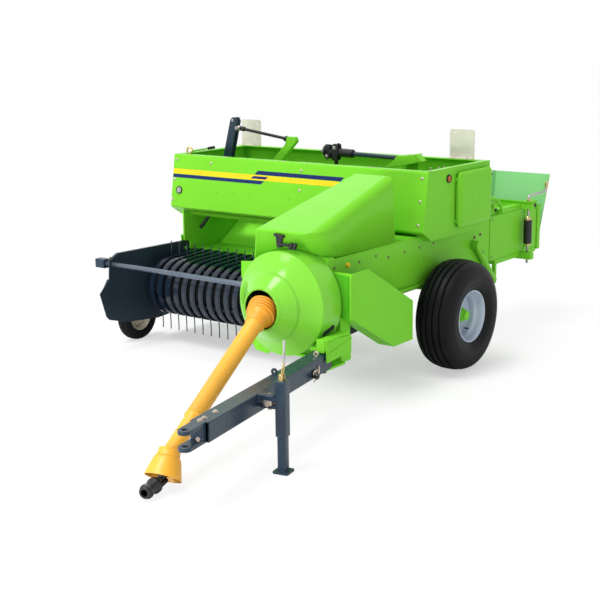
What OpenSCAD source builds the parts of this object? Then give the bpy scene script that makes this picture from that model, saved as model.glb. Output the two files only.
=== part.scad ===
// Towed small-square hay baler, parked on its jack.
// Machine axes: +X to the machine's left, +Y to its rear, +Z up; measured from the ground
// below the left wheel, then shifted so that the origin is under the middle of the machine.

/* [Chamber] */
// Outer width of the bale chamber
chamber_w = 425; // [400:5:450]
// Outer height of the bale chamber
chamber_h = 318; // [300:2:340]
// Height of the chamber's underside above the ground
chamber_z = 555; // [545:1:565]
// From the left wheel's axis forward to the chamber's front plate
front_len = 1153; // [1100:1:1200]
// From the left wheel's axis back to the chamber's outlet
rear_len = 1450; // [1400:5:1500]
// From the left wheel's middle to the chamber's left side
chamber_side = 175; // [170:1:185]
// Thickness of walls, plates and panels
wall = 12; // [8:1:14]

/* [Wheels] */
// Left tyre diameter
left_d = 710; // [690:5:730]
// Left tyre width
left_w = 264; // [240:2:270]
// Left rim diameter
left_rim_d = 335; // [310:5:350]
// Right tyre diameter
right_d = 600; // [560:5:620]
// Right tyre width
right_w = 165; // [140:5:180]
// Right rim diameter
right_rim_d = 300; // [270:5:320]
// From the left wheel's middle to the right wheel's middle
track = 1820; // [1780:5:1850]
// How far the right wheel's axis trails the left one's
right_trail = 330; // [300:5:360]
// Gauge wheel diameter
gauge_d = 330; // [310:5:350]
// Gauge wheel width
gauge_w = 90; // [80:2:96]
// Wheel axle diameter
axle_d = 60; // [50:1:66]
// Radial running clearance of shafts and pins
fit = 0.05; // [0.02:0.01:0.1]

/* [Drive] */
// Radius of the flywheel guard's drum
drum_r = 300; // [290:1:306]
// Depth of the drum
drum_depth = 140; // [130:1:150]
// Depth of the guard's cone in front of the drum
cone_depth = 210; // [200:1:220]
// Radius of the mouth that the drive shaft passes
mouth_r = 112; // [108:1:116]
// Height of the drive axis
drive_z = 628; // [620:1:635]
// Thickness of the guard's sheet
guard_t = 6; // [4:1:8]
// Length of the drive shaft from its joint to its yoke's end
shaft_len = 1441; // [1400:1:1450]
// Drop of the parked drive shaft, degrees
shaft_drop = 23.35; // [22:0.05:23.5]
// Turn of the parked drive shaft towards the drawbar, degrees
shaft_yaw = 13.8; // [12:0.1:15]
// Radius of the drive shaft's yoke bore
yoke_bore_r = 17.5; // [15:0.5:19]

/* [Drawbar] */
// Side of the square drawbar tube
bar_side = 100; // [90:2:104]
// Underside of the drawbar above the ground
bar_z = 300; // [290:1:305]
// Length from the pivot pin to the hitch pin hole
bar_len = 1465; // [1420:5:1500]
// Turn of the drawbar, degrees
bar_yaw = 11; // [9:0.5:12]
// Diameter of the hitch pin hole
hitch_d = 30; // [25:1:34]
// Thickness of each clevis ear
ear_t = 20; // [16:1:22]
// Side of the jack's outer tube
jack_side = 66; // [60:1:72]
// Side of the jack's inner leg
leg_side = 50; // [44:1:52]

/* [Pickup] */
// Width between the pickup's end plates
pickup_w = 1450; // [1440:1:1460]
// Outer radius of the stripper bands
band_r = 200; // [190:1:205]
// Width of a stripper band
band_w = 50; // [44:1:56]
// Pitch of the bands and tines
pitch = 76; // [75:0.5:77]
// From the right end plate to the first tine
tine_start = 57; // [50:1:65]
// Least room from the last tine to the left end plate
tine_room = 25; // [20:1:30]
// Radius that the tines' tips sweep
tip_r = 315; // [300:1:318]
// Tine wire radius
tine_r = 3.5; // [3:0.5:5]
// Radius of the wind guard's bar
windbar_r = 16; // [12:1:18]

/* [Feeder box] */
// Width of the feeder box
box_w = 2135; // [2115:5:2145]
// Height of the box's rim above the ground
box_top = 1280; // [1260:5:1300]
// Depth of the box from its front fold to its rear wall
box_depth = 838; // [820:2:850]
// Width of the rim's inward flange
rim_w = 40; // [30:1:50]
// Width of the access door
door_w = 420; // [400:5:430]
// Height of the access door
door_h = 360; // [340:5:365]

/* [Hood and chute] */
// Length of the hood
hood_len = 810; // [790:5:830]
// Height of the hood's rear edge above the ground
hood_top = 1283; // [1265:1:1295]
// Height of the hood's front edge above the ground
hood_nose = 1036; // [1020:1:1050]
// How far the hood's right side leans in at its rear edge
hood_slant = 150; // [130:5:170]
// Length of the bale chute
chute_len = 547; // [520:1:560]
// Lean of the raised chute, degrees
chute_lean = 14; // [8:0.5:16]
// Depth of the chute's side flanges
chute_flange = 45; // [35:1:50]
// Outward lean of the side flanges, degrees
chute_flare = 20; // [10:1:25]

/* [Side guard and lamp plates] */
// How far the side guard stands out from the chamber
guard_out = 155; // [145:1:165]
// Height of the side guard's foot above the ground
guard_foot = 295; // [280:1:310]
// Width of a lamp plate
lamp_w = 190; // [170:5:200]
// Height of a lamp plate above the box's rim
lamp_h = 195; // [170:5:220]

/* [Hidden] */
$fn = 48;

// How far a cut runs past the face that it opens
cut = 1;

lime = "YellowGreen";
navy = "DarkSlateGray";
black = "Black";
yellow = "Orange";
steel = "Silver";

// Chamber planes
left_x = -chamber_side;
right_x = left_x - chamber_w;
mid_chamber_x = (left_x + right_x) / 2;
chamber_top = chamber_z + chamber_h;
front_y = -front_len;

// Feed opening in the chamber's right wall
feed_y0 = -60;
feed_y1 = 480;

// Front frame
plate_y = front_y - wall;
frame_right = 40;
frame_left = 45;
beam_side = 100;
beam_z = 283;
bearing_r = 40;
bracket_x0 = -165;
bracket_x1 = -25;
bracket_t = 15;
bracket_gap = 2;
pivot_reach = 165;
pivot_edge = 45;
pivot_r = 15;

// Hood
hood_reach = 125;
hood_rake = 17;
hood_front_y = plate_y - hood_reach;
hood_rear_y = hood_front_y + hood_len;

// Flywheel guard, and the flywheel and gearbox that it hides
guard_x = mid_chamber_x;
mouth_y = plate_y - drum_depth - cone_depth;
flywheel_room = 50;
drive_r = 30;
gearbox_room = 60;
gearbox_len = 340;

// Drawbar pivot, in plan
pivot_y = plate_y - pivot_reach;
pivot_x = (bracket_x0 + bracket_x1) / 2;
clevis_r = 33;
clevis_l = 130;
hitch_x = pivot_x + bar_len * sin(bar_yaw);
hitch_y = pivot_y - bar_len * cos(bar_yaw);
clevis_base = 30;
bar_wall = 8;
bar_solid = 100;

// Jack, beside the drawbar
jack_along = 832;
jack_out = 170;
foot_side = 110;
foot_t = 10;
jack_bottom = 190;
jack_top = 475;
leg_top = 340;
leg_slack = 0.5;
jack_cap = 8;
arm_half = 25;
arm_h = 40;
jack_x = pivot_x + jack_along * sin(bar_yaw) + jack_out * cos(bar_yaw);
jack_y = pivot_y - jack_along * cos(bar_yaw) + jack_out * sin(bar_yaw);

// Drive shaft joint: a cross whose four pins turn in the two yokes' ears
joint_in = 35;
joint_y = mouth_y + joint_in;
cross_r = 20;
cross_pin_r = 11;
yoke_in = 26;
yoke_out = 38;
yoke_half = 18;
yoke_base = 44;
yoke_flange = 12;
cone_start = 26;
cone_end = 176;
cone_r = 78;
cone_bore = 62;
rib_count = 5;
rib_pitch = 18;
rib_depth = 6;
rib_taper = 1.5;
stub_r = 26;
outer_tube_r = 47;
inner_tube_r = 41;
tube_step = 936;
tube_end = 1136;
bell_r = 104;
bell_len = 175;
bell_neck_r = 60;
bell_neck = 44;
bell_lip = 6;
yoke_shank_r = 34;
yoke_hub_r = 42;
yoke_hub = 101;
yoke_depth = 70;

// Pickup
plate_t = 8;
side_gap = 10;
box_left_x = -107;
box_right_x = box_left_x - box_w;
pickup_gap = 100;
pick_left_x = right_x - pickup_gap;
pick_right_x = pick_left_x - pickup_w;
end_wall_x = pick_right_x + side_gap;
reel_y = -480;
reel_z = 385;
band_t = 4;
tine_x0 = pick_right_x + tine_start;
tines = floor((pickup_w - tine_start - tine_room) / pitch) + 1;
hinge_y = -215;
hinge_z = 600;
hinge_r = 15;
reel_shaft_r = 22;
tine_bar_r = 14;
tine_bar_at = 120;
windbar_y = -945;
windbar_z = 598;
windbar_end = 144;
windbar_in = 30;
beam_front = hinge_y + 25;
beam_rear = hinge_y + 70;
beam_top = hinge_z - 7;
beam_h = 38;
low_beam_y = -110;
low_beam_w = 40;
low_beam_h = 25;
gauge_out = 84;
gauge_x = pick_right_x - gauge_out;
gauge_y = -654;
gauge_rim_r = 90;
gauge_axle_r = 15;

// Feeder box planes
box_front_y = -248;
box_back_y = box_front_y + box_depth;
box_fold_z = 911;
box_low_z = 840;
box_low_y = -155;
box_lean = 48;
floor_z = 590;
floor_y0 = -130;
floor_y1 = 150;
sheet_back = 40;
sheet_w = 18;
sheet_in = 6;
rim_t = 8;
rail_y = 200;
rail_side = 60;
rail_z = 1150;
rail_top = rail_z + rail_side;
link_y = rail_y + rail_side / 2;

// Feeding arm on the rail, the rod from it and the lever that the rod works
seat = 0.3;
link_t = 40;
post_w = 70;
post_in = 182;
post_foot_x = box_right_x + post_in;
post_lean = 60;
post_h = 270;
post_top_x = post_foot_x + post_lean;
post_top_z = rail_top + post_h;
feed_rod_r = 12;
feed_rod_drop = 32;
feed_span = 520;
lever_rise = 162;
lever_w = 80;
lever_foot = 60;
lever_reach = 100;
lever_head = 30;
lever_x = post_foot_x + feed_span;
lever_z = rail_top + lever_rise;
feed_rod_z = post_top_z - feed_rod_drop;
post_face_x = post_foot_x + post_lean * (feed_rod_z - rail_top) / post_h;
feed_rod_tilt = atan2(feed_rod_z - lever_z, lever_x - post_face_x);
post_tilt = atan2(post_lean, post_h);

// Second link: rod end, thick rod, thin rod and the bracket that it meets
link_gap = 290;
link_w = 90;
link_h = 135;
link_rod_rise = 96;
link_rod_r = 22;
thick_share = 0.39;
thin_rod_rise = 88;
thin_rod_r = 10;
bracket_in = 513;
bracket_foot = 70;
bracket_w = 220;
bracket_rise = 30;
bracket_top = 60;
link_x = lever_x + link_gap;
link_end_x = box_left_x - bracket_in;
link_rod_x1 = link_x + link_w + thick_share * (link_end_x - link_x - link_w);
link_rod_z = rail_top + link_rod_rise;
thin_rod_z = rail_top + thin_rod_rise;

// Packing fingers, clear of the sheet below them
finger_w = 30;
finger_count = 3;
finger_room = 10;
finger_y = rail_y + (rail_side - finger_w) / 2;
sheet_slope = (box_low_z - floor_z) / (box_back_y - sheet_back - sheet_w - floor_y1 + sheet_in);
finger_low = floor_z + sheet_slope * (finger_y + finger_w - floor_y1 + sheet_in) + finger_room;

// Lamp plates on the box's rear
lamp_t = 4;
lamp_lap = 60;
lamp_right_out = 26;
lamp_left_in = 311;
lamp_right_x = box_right_x - lamp_right_out;
lamp_left_x = box_left_x - lamp_left_in;

// Knotter stack behind the box
knotter_gap = 50;
knotter_t = 20;
knotter_len = 220;
knotter_h = 110;
knotter_axis = 75;
knotter_out = 30;
knotter_shaft_r = 20;
cam_at = 110;
cam_w = 30;
cam_r = 70;

// Needle frame: pivot beside the chamber, knee below it
needle_in = 100;
needle_rise = 159;
needle_reach = 270;
needle_drop = 125;
needle_r = 22;
needle_out = 28;
needle_y = box_back_y - needle_in;
needle_z = chamber_z + needle_rise;
knee_y = needle_y + needle_reach;
knee_z = chamber_z - needle_drop;

// Bale tension: rails, cross bars and screws
tension_rail_w = 60;
tension_rail_h = 32;
cross_in = 260;
cross_y = rear_len - cross_in;
cross_w = 50;
cross_h = 48;
cross_out = 90;
screw_out = 50;
screw_r = 12;
screw_room = 0.3;
spring_r = 30;
spring_rise = 67;
spring_z = chamber_z + spring_rise;
spring_h = 170;
crank_r = 10;
crank_arm = 280;
crank_grip = 75;

// Side guard, from the front plate back
guard_drop = 62;
guard_nose = 5;
guard_tail = 17;
guard_flat = 170;
guard_knee = 437;
guard_back = 646;

// Door in the box's left side
door_rear = 20;
door_y0 = box_back_y - door_rear - door_w;
door_z0 = 884;
door_t = 18;
door_gap = 0.5;
door_inset = 20;
door_sill = 20;
door_edge = 8;
door_pin_r = 5;
knuckle_r = 10;
knuckle_h = 30;
knuckle_in = 30;
knuckle_room = 10;
door_pin_in = 10;
door_pin_x = box_left_x + knuckle_r + door_gap;
door_pin_y = door_y0 - door_pin_in;

// Chute hinge
chute_gap = 40;
chute_drop = 9;
chute_y = rear_len + chute_gap;
chute_z = chamber_z - chute_drop;
chute_pin_r = 8;
chute_t = 8;
chute_sleeve_r = 15;
chute_low = 200;
chute_high = 222;
chute_shoulder = 30;
chute_lug_w = 20;
chute_lug_in = 40;
chute_lug_right_x = right_x + chute_lug_in;
chute_lug_left_x = left_x - chute_lug_in - chute_lug_w;

// Middle of the machine's box, which becomes the origin
x_min = pick_right_x - windbar_end;
x_max = jack_x + foot_side / 2;
y_min = hitch_y - clevis_r;
y_max = chute_y + chute_len * sin(chute_lean) + chute_t * cos(chute_lean);
mid_x = (x_min + x_max) / 2;
mid_y = (y_min + y_max) / 2;

// Puts a piece that is drawn in machine axes into the part's own frame
module at(c) {
    color(c) translate([-mid_x, -mid_y, 0]) children();
}

// A list turned end to end
function turned(p) = [for (i = [len(p) - 1:-1:0]) p[i]];

// Block between two corners
module block(a, b) {
    translate(a) cube(b - a);
}

// Outline in the machine's side view (Y, Z), thick from x0 to x1
module slab(x0, x1, outline) {
    translate([x0, 0, 0]) rotate([90, 0, 90]) linear_extrude(x1 - x0) polygon(outline);
}

// Round bar along X
module bar_x(x0, x1, y, z, r) {
    translate([x0, y, z]) rotate([0, 90, 0]) cylinder(h = x1 - x0, r = r);
}

// Round bar between two points
module rod(a, b, r) {
    d = b - a;
    l = norm(d);
    translate(a) rotate([0, acos(d[2] / l), atan2(d[1], d[0])]) cylinder(h = l, r = r);
}

module chamber_left_wall() {
    at(lime) block([left_x - wall, front_y, chamber_z], [left_x, rear_len, chamber_top]);
}

module chamber_right_wall() {
    at(lime) {
        difference() {
            block([right_x, front_y, chamber_z], [right_x + wall, rear_len, chamber_top]);
            block([right_x - cut, feed_y0, floor_z], [right_x + wall + cut, feed_y1, box_low_z]);
        }
        bar_x(pick_left_x - side_gap, right_x, hinge_y, hinge_z, hinge_r);
    }
}

module chamber_floor() {
    lug_reach = 12;
    at(lime) {
        block([right_x + wall, front_y, chamber_z], [left_x - wall, rear_len, chamber_z + wall]);
        for (x = [chute_lug_right_x, chute_lug_left_x])
            block([x, rear_len, chute_z - chute_sleeve_r],
                  [x + chute_lug_w, chute_y + lug_reach, chamber_z + wall]);
        bar_x(chute_lug_right_x, chute_lug_left_x + chute_lug_w, chute_y, chute_z, chute_pin_r);
    }
}

module chamber_roof() {
    at(lime) block([right_x + wall, front_y, chamber_top - wall], [left_x - wall, rear_len, chamber_top]);
}

// Front plate, cross beam and the two plates that hold the drawbar's pivot pin
module front_frame() {
    bar_top = bar_z + bar_side;
    low_plate_z = bar_z - bracket_gap - bracket_t;
    top_plate_z = bar_top + bracket_gap;
    at(lime) {
        difference() {
            block([right_x - frame_right, plate_y, beam_z], [left_x + frame_left, front_y, chamber_top]);
            translate([guard_x, front_y + cut, drive_z])
                rotate([90, 0, 0]) cylinder(h = wall + 2 * cut, r = bearing_r + 1);
        }
        block([right_x - frame_right, front_y, beam_z], [bracket_x1, front_y + beam_side, beam_z + beam_side]);
        block([right_x, front_y, beam_z + beam_side], [left_x, front_y + wall, chamber_z]);
        block([left_x + frame_left, plate_y, beam_z], [bracket_x1, front_y, top_plate_z + bracket_t]);
        for (z = [low_plate_z, top_plate_z])
            block([bracket_x0, pivot_y - pivot_edge, z], [bracket_x1, plate_y, z + bracket_t]);
        translate([pivot_x, pivot_y, low_plate_z])
            cylinder(h = top_plate_z + bracket_t - low_plate_z, r = pivot_r);
    }
}

// Side view of the hood, set in by s, down to a given height
function hood_side(s, low) = [
    [hood_front_y + s, low],
    [hood_front_y + s, hood_nose - s],
    [hood_rear_y - hood_rake - s, hood_top - s],
    [hood_rear_y - s, low]
];

// Front view of the hood, set in by s: its right side leans in above the nose
function hood_face(s, low) = [
    [right_x + s, low],
    [left_x - s, low],
    [left_x - s, hood_top],
    [right_x + hood_slant + s, hood_top],
    [right_x + s, hood_nose]
];

module hood_body(s, low) {
    intersection() {
        slab(right_x, left_x, hood_side(s, low));
        translate([0, hood_rear_y, 0]) rotate([90, 0, 0]) linear_extrude(hood_len) polygon(hood_face(s, low));
    }
}

module hood() {
    at(lime) difference() {
        hood_body(0, chamber_top);
        hood_body(guard_t, chamber_top - cut);
        translate([guard_x, plate_y + cut, drive_z])
            rotate([90, 0, 0]) cylinder(h = drum_depth + cut, r = drum_r + seat);
    }
}

// Half section of the guard as [radius, distance in front of the front plate]
guard_section = [
    [drum_r, 0],
    [drum_r, drum_depth - 14],
    [drum_r - 5, drum_depth - 3],
    [drum_r - 18, drum_depth + 6],
    [(drum_r + mouth_r) / 2 - 16, drum_depth + cone_depth * 0.46],
    [mouth_r + 8, drum_depth + cone_depth - 8],
    [mouth_r, drum_depth + cone_depth]
];

module flywheel_guard() {
    n = len(guard_section);
    inner = [for (i = [n - 1:-1:0]) guard_section[i] - [guard_t, 0]];
    at(lime) translate([guard_x, plate_y, drive_z]) rotate([90, 0, 0])
        rotate_extrude() polygon(concat(guard_section, inner));
}

// Yoke about the joint's centre: two ears across Y, reaching back along +Z to a base
module yoke() {
    ear = yoke_out - yoke_in;
    difference() {
        union() {
            for (y = [-yoke_out, yoke_in])
                translate([0, y, 0]) {
                    block([-yoke_half, 0, 0], [yoke_half, ear, yoke_base]);
                    rotate([-90, 0, 0]) cylinder(h = ear, r = yoke_half);
                }
            translate([0, 0, yoke_base]) cylinder(h = yoke_flange, r = yoke_out);
        }
        translate([0, -yoke_out - cut, 0]) rotate([-90, 0, 0])
            cylinder(h = 2 * (yoke_out + cut), r = cross_pin_r + fit);
    }
}

// Flywheel, its shaft and the gearbox behind it
module flywheel_gearbox() {
    rim_room = 20;
    at(steel) {
        translate([guard_x, plate_y, drive_z]) rotate([90, 0, 0]) {
            cylinder(h = drum_depth - rim_room, r = drum_r - flywheel_room);
            cylinder(h = plate_y - joint_y - yoke_base, r = drive_r);
        }
        translate([guard_x, joint_y, drive_z]) rotate([-90, 0, 0]) yoke();
        translate([guard_x, front_y + cut, drive_z])
            rotate([90, 0, 0]) cylinder(h = wall + 2 * cut, r = bearing_r);
        block([right_x + gearbox_room, front_y + wall, chamber_z + wall],
              [left_x - gearbox_room, front_y + gearbox_len, chamber_top - wall]);
        block([guard_x - gearbox_room, front_y, drive_z - gearbox_room],
              [guard_x + gearbox_room, front_y + wall, drive_z + gearbox_room]);
    }
}

// Front edge of the feeder box in side view: rim, fold and foot, set back by t
function box_edge(t) = [
    [box_front_y + box_lean + t, box_top],
    [box_front_y + t, box_fold_z],
    [box_low_y + t, box_low_z]
];

// Side view of the feeder box's outside
box_outline = concat(box_edge(0), [[box_back_y, box_low_z], [box_back_y, box_top]]);

// Room for the chamber, which runs through the box's lower left corner
module chamber_notch() {
    block([right_x - seat, box_front_y - cut, box_low_z - cut], [left_x + seat, box_back_y + cut, chamber_top]);
}

module box_front() {
    rim_y = box_front_y + box_lean + wall;
    at(lime) {
        difference() {
            slab(box_right_x + wall, box_left_x - wall, concat(box_edge(0), turned(box_edge(wall))));
            chamber_notch();
        }
        block([box_right_x + wall, rim_y - cut, box_top - rim_t], [box_left_x - wall, rim_y + rim_w, box_top]);
    }
}

module box_left_side() {
    at(lime) difference() {
        union() {
            slab(box_left_x - wall, box_left_x, box_outline);
            for (z = [door_z0 + knuckle_in, door_z0 + door_h - knuckle_in - knuckle_h]) {
                translate([door_pin_x, door_pin_y, z]) cylinder(h = knuckle_h, r = knuckle_r);
                block([box_left_x, door_pin_y - knuckle_r, z], [door_pin_x, door_pin_y + knuckle_r, z + knuckle_h]);
            }
            translate([door_pin_x, door_pin_y, door_z0 + knuckle_in])
                cylinder(h = door_h - 2 * knuckle_in, r = door_pin_r);
        }
        block([box_left_x - wall - cut, rail_y + rail_side + door_sill, door_z0 + door_inset],
              [box_left_x + cut, door_y0 + door_w - door_inset, door_z0 + door_h - door_inset]);
    }
}

module box_right_side() {
    at(lime) slab(box_right_x, box_right_x + wall, box_outline);
}

module box_rear() {
    inner_y = box_back_y - wall;
    at(lime) {
        difference() {
            block([box_right_x + wall, inner_y, box_low_z], [box_left_x - wall, box_back_y, box_top]);
            chamber_notch();
        }
        block([box_right_x + wall, inner_y - rim_w, box_top - rim_t], [box_left_x - wall, inner_y, box_top]);
    }
}

// Floor of the box each side of the chamber, with a slot that the packing fingers pass
module box_floor() {
    slot_room = 30;
    slot_right = 200;
    slot_left = 100;
    y0 = box_low_y + wall;
    y1 = box_back_y - wall;
    at(lime) {
        difference() {
            block([box_right_x + wall, y0, box_low_z], [right_x, y1, box_low_z + wall]);
            block([box_right_x + slot_right, rail_y - slot_room, box_low_z - cut],
                  [right_x - slot_left, rail_y + rail_side + slot_room, box_low_z + wall + cut]);
        }
        block([left_x, y0, box_low_z], [box_left_x - wall, y1, box_low_z + wall]);
    }
}

// Deck behind the pickup and the sheet that rises from it to the box
module feeder_floor() {
    at(lime) slab(end_wall_x + wall, right_x, [
        [floor_y0, floor_z - wall],
        [floor_y1, floor_z - wall],
        [box_back_y - sheet_back, box_low_z],
        [box_back_y - sheet_back - sheet_w, box_low_z],
        [floor_y1 - sheet_in, floor_z],
        [floor_y0, floor_z]
    ]);
}

// Wall at the deck's right end, stepped over the pickup's beam, with the pickup's hinge pin
module feeder_end_wall() {
    boss = 25;
    lip = 17;
    step_z = beam_top + side_gap;
    at(lime) {
        slab(end_wall_x, end_wall_x + wall, [
            [hinge_y - boss, hinge_z - boss],
            [hinge_y - boss, box_low_z],
            [box_back_y - sheet_back, box_low_z],
            [floor_y1, floor_z - wall],
            [floor_y0, floor_z - wall],
            [floor_y0, step_z],
            [hinge_y + lip, step_z],
            [hinge_y + lip, hinge_z - boss]
        ]);
        bar_x(pick_right_x - plate_t - side_gap, end_wall_x, hinge_y, hinge_z, hinge_r);
    }
}

// Axle beam under the chamber, with a drop arm and a stub for each wheel
module axle() {
    beam = 90;
    beam_y = 60;
    arm = 35;
    arm_end = 45;
    arm_room = 13;
    stub_in = [60, 40];
    strut_at = [300, 700];
    strut_w = 60;
    left_arm_x = left_x + 25;
    right_arm_x = -track + right_w / 2 + arm_room;
    at(navy) {
        block([right_arm_x, beam_y, chamber_z - beam], [left_arm_x, beam_y + beam, chamber_z]);
        block([left_arm_x - arm, -arm_end, left_d / 2 - arm_end], [left_arm_x, beam_y + beam, chamber_z]);
        bar_x(left_arm_x, left_w / 2 - stub_in[0], 0, left_d / 2, axle_d / 2);
        block([right_arm_x, beam_y, right_d / 2 - arm_end],
              [right_arm_x + arm, right_trail + arm_end, chamber_z - beam / 2]);
        bar_x(-track - right_w / 2 + stub_in[1], right_arm_x, right_trail, right_d / 2, axle_d / 2);
        for (d = strut_at)
            block([right_arm_x + d, beam_y, chamber_z], [right_arm_x + d + strut_w, beam_y + beam, floor_z - wall]);
    }
}

// Rail across the box that carries the feeding linkage
module feeder_rail() {
    at(lime) block([box_right_x + wall, rail_y, rail_z], [box_left_x - wall, rail_y + rail_side, rail_top]);
}

module packer_fingers() {
    step = (right_x - end_wall_x) / (finger_count + 1);
    at(black) for (i = [1:finger_count])
        block([end_wall_x + step * i, finger_y, finger_low],
              [end_wall_x + step * i + finger_w, finger_y + finger_w, rail_z]);
}

// Flat piece of the linkage: an outline across the machine, thick about the rail's middle
module link_plate(x, z, outline) {
    translate([x, link_y + link_t / 2, z]) rotate([90, 0, 0]) linear_extrude(link_t) polygon(outline);
}

module feeder_post() {
    head_h = 45;
    head_out = 15;
    at(black) link_plate(post_foot_x, rail_top, [
        [-post_w, 0], [0, 0], [post_lean, post_h], [post_lean + head_out, post_h + head_h],
        [post_lean - 3 * head_out, post_h + head_h], [post_lean - post_w, post_h]
    ]);
}

module feeder_rod() {
    c = cos(feed_rod_tilt);
    x0 = post_face_x + seat + feed_rod_r * abs(sin(feed_rod_tilt) - c * tan(post_tilt));
    x1 = lever_x - seat - feed_rod_r * abs(sin(feed_rod_tilt));
    at(black) rod([x0, link_y, feed_rod_z], [x1, link_y, lever_z], feed_rod_r);
}

module feeder_lever() {
    top = lever_rise + lever_head;
    at(lime) link_plate(lever_x, rail_top, [
        [-lever_foot - lever_w, 0],
        [-lever_foot, 0],
        [lever_reach, lever_rise],
        [lever_reach - lever_head, top],
        [0, top],
        [0, lever_rise - lever_head]
    ]);
}

// Rod end, thick rod and thin rod of the second link
module packer_link() {
    lap = 5;
    at(black) {
        block([link_x, link_y - link_t / 2, rail_top], [link_x + link_w, link_y + link_t / 2, rail_top + link_h]);
        bar_x(link_x + link_w - lap, link_rod_x1, link_y, link_rod_z, link_rod_r);
        bar_x(link_rod_x1 - lap, link_end_x, link_y, thin_rod_z, thin_rod_r);
    }
}

module packer_bracket() {
    top = thin_rod_rise + thin_rod_r;
    crest = bracket_w - bracket_foot / 2;
    at(lime) link_plate(link_end_x, rail_top, [
        [-bracket_foot, 0],
        [bracket_w, 0],
        [crest, top + bracket_rise],
        [crest - bracket_top, top + bracket_rise],
        [0, top],
        [0, thin_rod_rise - thin_rod_r]
    ]);
}

module lamp_plates() {
    at(steel) for (x = [lamp_right_x, lamp_left_x])
        block([x, box_back_y, box_top - lamp_lap], [x + lamp_w, box_back_y + lamp_t, box_top + lamp_h]);
}

// Knotter stack on the chamber: three plates, the shaft through them and two cam discs
module knotter() {
    y0 = box_back_y + knotter_gap;
    axis_y = y0 + knotter_len / 2;
    axis_z = chamber_top + knotter_axis;
    at(lime) {
        for (x = [right_x + knotter_t, mid_chamber_x - knotter_t / 2, left_x - 2 * knotter_t])
            block([x, y0, chamber_top], [x + knotter_t, y0 + knotter_len, chamber_top + knotter_h]);
        bar_x(right_x - knotter_out, left_x + knotter_out, axis_y, axis_z, knotter_shaft_r);
        for (x = [mid_chamber_x - cam_at, mid_chamber_x + cam_at - cam_w])
            bar_x(x, x + cam_w, axis_y, axis_z, cam_r);
    }
}

// Needle frame: a tube each side on its pivot, a cross bar, two guard bars and two needles
module needle_yoke() {
    boss_r = 30;
    boss = 12;
    bar_r = 18;
    guard_half = 12;
    blade = 20;
    blade_at = 80;
    needle = [[0, -15], [40, -15], [170, 40], [200, 100], [175, 100], [140, 60], [10, 15]];
    at(lime) {
        for (side = [[left_x, 1], [right_x, -1]]) {
            arm_x = side[0] + side[1] * needle_out;
            rod([arm_x, needle_y, needle_z], [arm_x, knee_y, knee_z], needle_r);
            bar_x(min(side[0], arm_x), max(side[0], arm_x), needle_y, needle_z, bar_r);
            bar_x(arm_x - needle_r - boss / 2, arm_x + needle_r + boss / 2, needle_y, needle_z, boss_r);
            block([arm_x - guard_half, knee_y - guard_half, knee_z - 2 * guard_half],
                  [arm_x + guard_half, knee_y + guard_half, chamber_z]);
        }
        bar_x(right_x - needle_out, left_x + needle_out, knee_y, knee_z, bar_r);
        for (x = [mid_chamber_x - blade_at, mid_chamber_x + blade_at - blade])
            slab(x, x + blade, [for (p = needle) [knee_y, knee_z] + p]);
    }
}

// Rails along the chamber's rear edges and a cross bar above and below
module tension_rails() {
    top_front = box_back_y + knotter_gap + knotter_len + knotter_t;
    low_front = top_front - tension_rail_w;
    hole_r = screw_r + screw_room;
    at(lime) {
        for (x = [left_x - tension_rail_w, right_x]) {
            block([x, top_front, chamber_top], [x + tension_rail_w, rear_len, chamber_top + tension_rail_h]);
            block([x, low_front, chamber_z - tension_rail_h], [x + tension_rail_w, rear_len, chamber_z]);
        }
        for (z = [chamber_top, chamber_z - cross_h])
            difference() {
                block([right_x - cross_out, cross_y, z], [left_x + cross_out, cross_y + cross_w, z + cross_h]);
                for (x = [left_x + screw_out, right_x - screw_out])
                    translate([x, cross_y + cross_w / 2, z - cut]) cylinder(h = cross_h + 2 * cut, r = hole_r);
            }
    }
}

// Tension screws through the cross bars, each with its spring and its crank
module tension_screws() {
    y = cross_y + cross_w / 2;
    z0 = chamber_z - cross_h - 30;
    z1 = chamber_top + cross_h + 40;
    at(black) for (x = [left_x + screw_out, right_x - screw_out]) {
        translate([x, y, z0]) cylinder(h = z1 - z0, r = screw_r);
        translate([x, y, spring_z]) cylinder(h = spring_h, r = spring_r);
        rod([x, y - screw_r, z1], [x, y + crank_arm, z1], crank_r);
        translate([x, y + crank_arm - crank_r, z1]) cylinder(h = crank_grip, r = crank_r);
    }
}

// Half width of a tyre's bead as a share of the tyre's width
bead_share = 0.36;

// Tyre's half section as [radius, distance from its middle]: bead, side, shoulder and ribs
function tyre_section(r, w, rim_r) =
    let (h = r - rim_r, g = w * 0.035, d = h * 0.07)
    concat(
        [[rim_r, -w * bead_share], [rim_r + h * 0.25, -w * 0.46], [rim_r + h * 0.55, -w / 2],
         [r - h * 0.2, -w * 0.46], [r - h * 0.05, -w * 0.39]],
        [for (i = [0:3]) let (c = (i - 1.5) * w * 0.155)
            each [[r, c - g], [r - d, c - g * 0.6], [r - d, c + g * 0.6], [r, c + g]]],
        [[r - h * 0.05, w * 0.39], [r - h * 0.2, w * 0.46], [rim_r + h * 0.55, w / 2],
         [rim_r + h * 0.25, w * 0.46], [rim_r, w * bead_share]]
    );

module tyre_at(p, d, w, rim_d) {
    translate(p) rotate([0, 90, 0]) rotate_extrude() polygon(tyre_section(d / 2, w, rim_d / 2));
}

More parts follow.
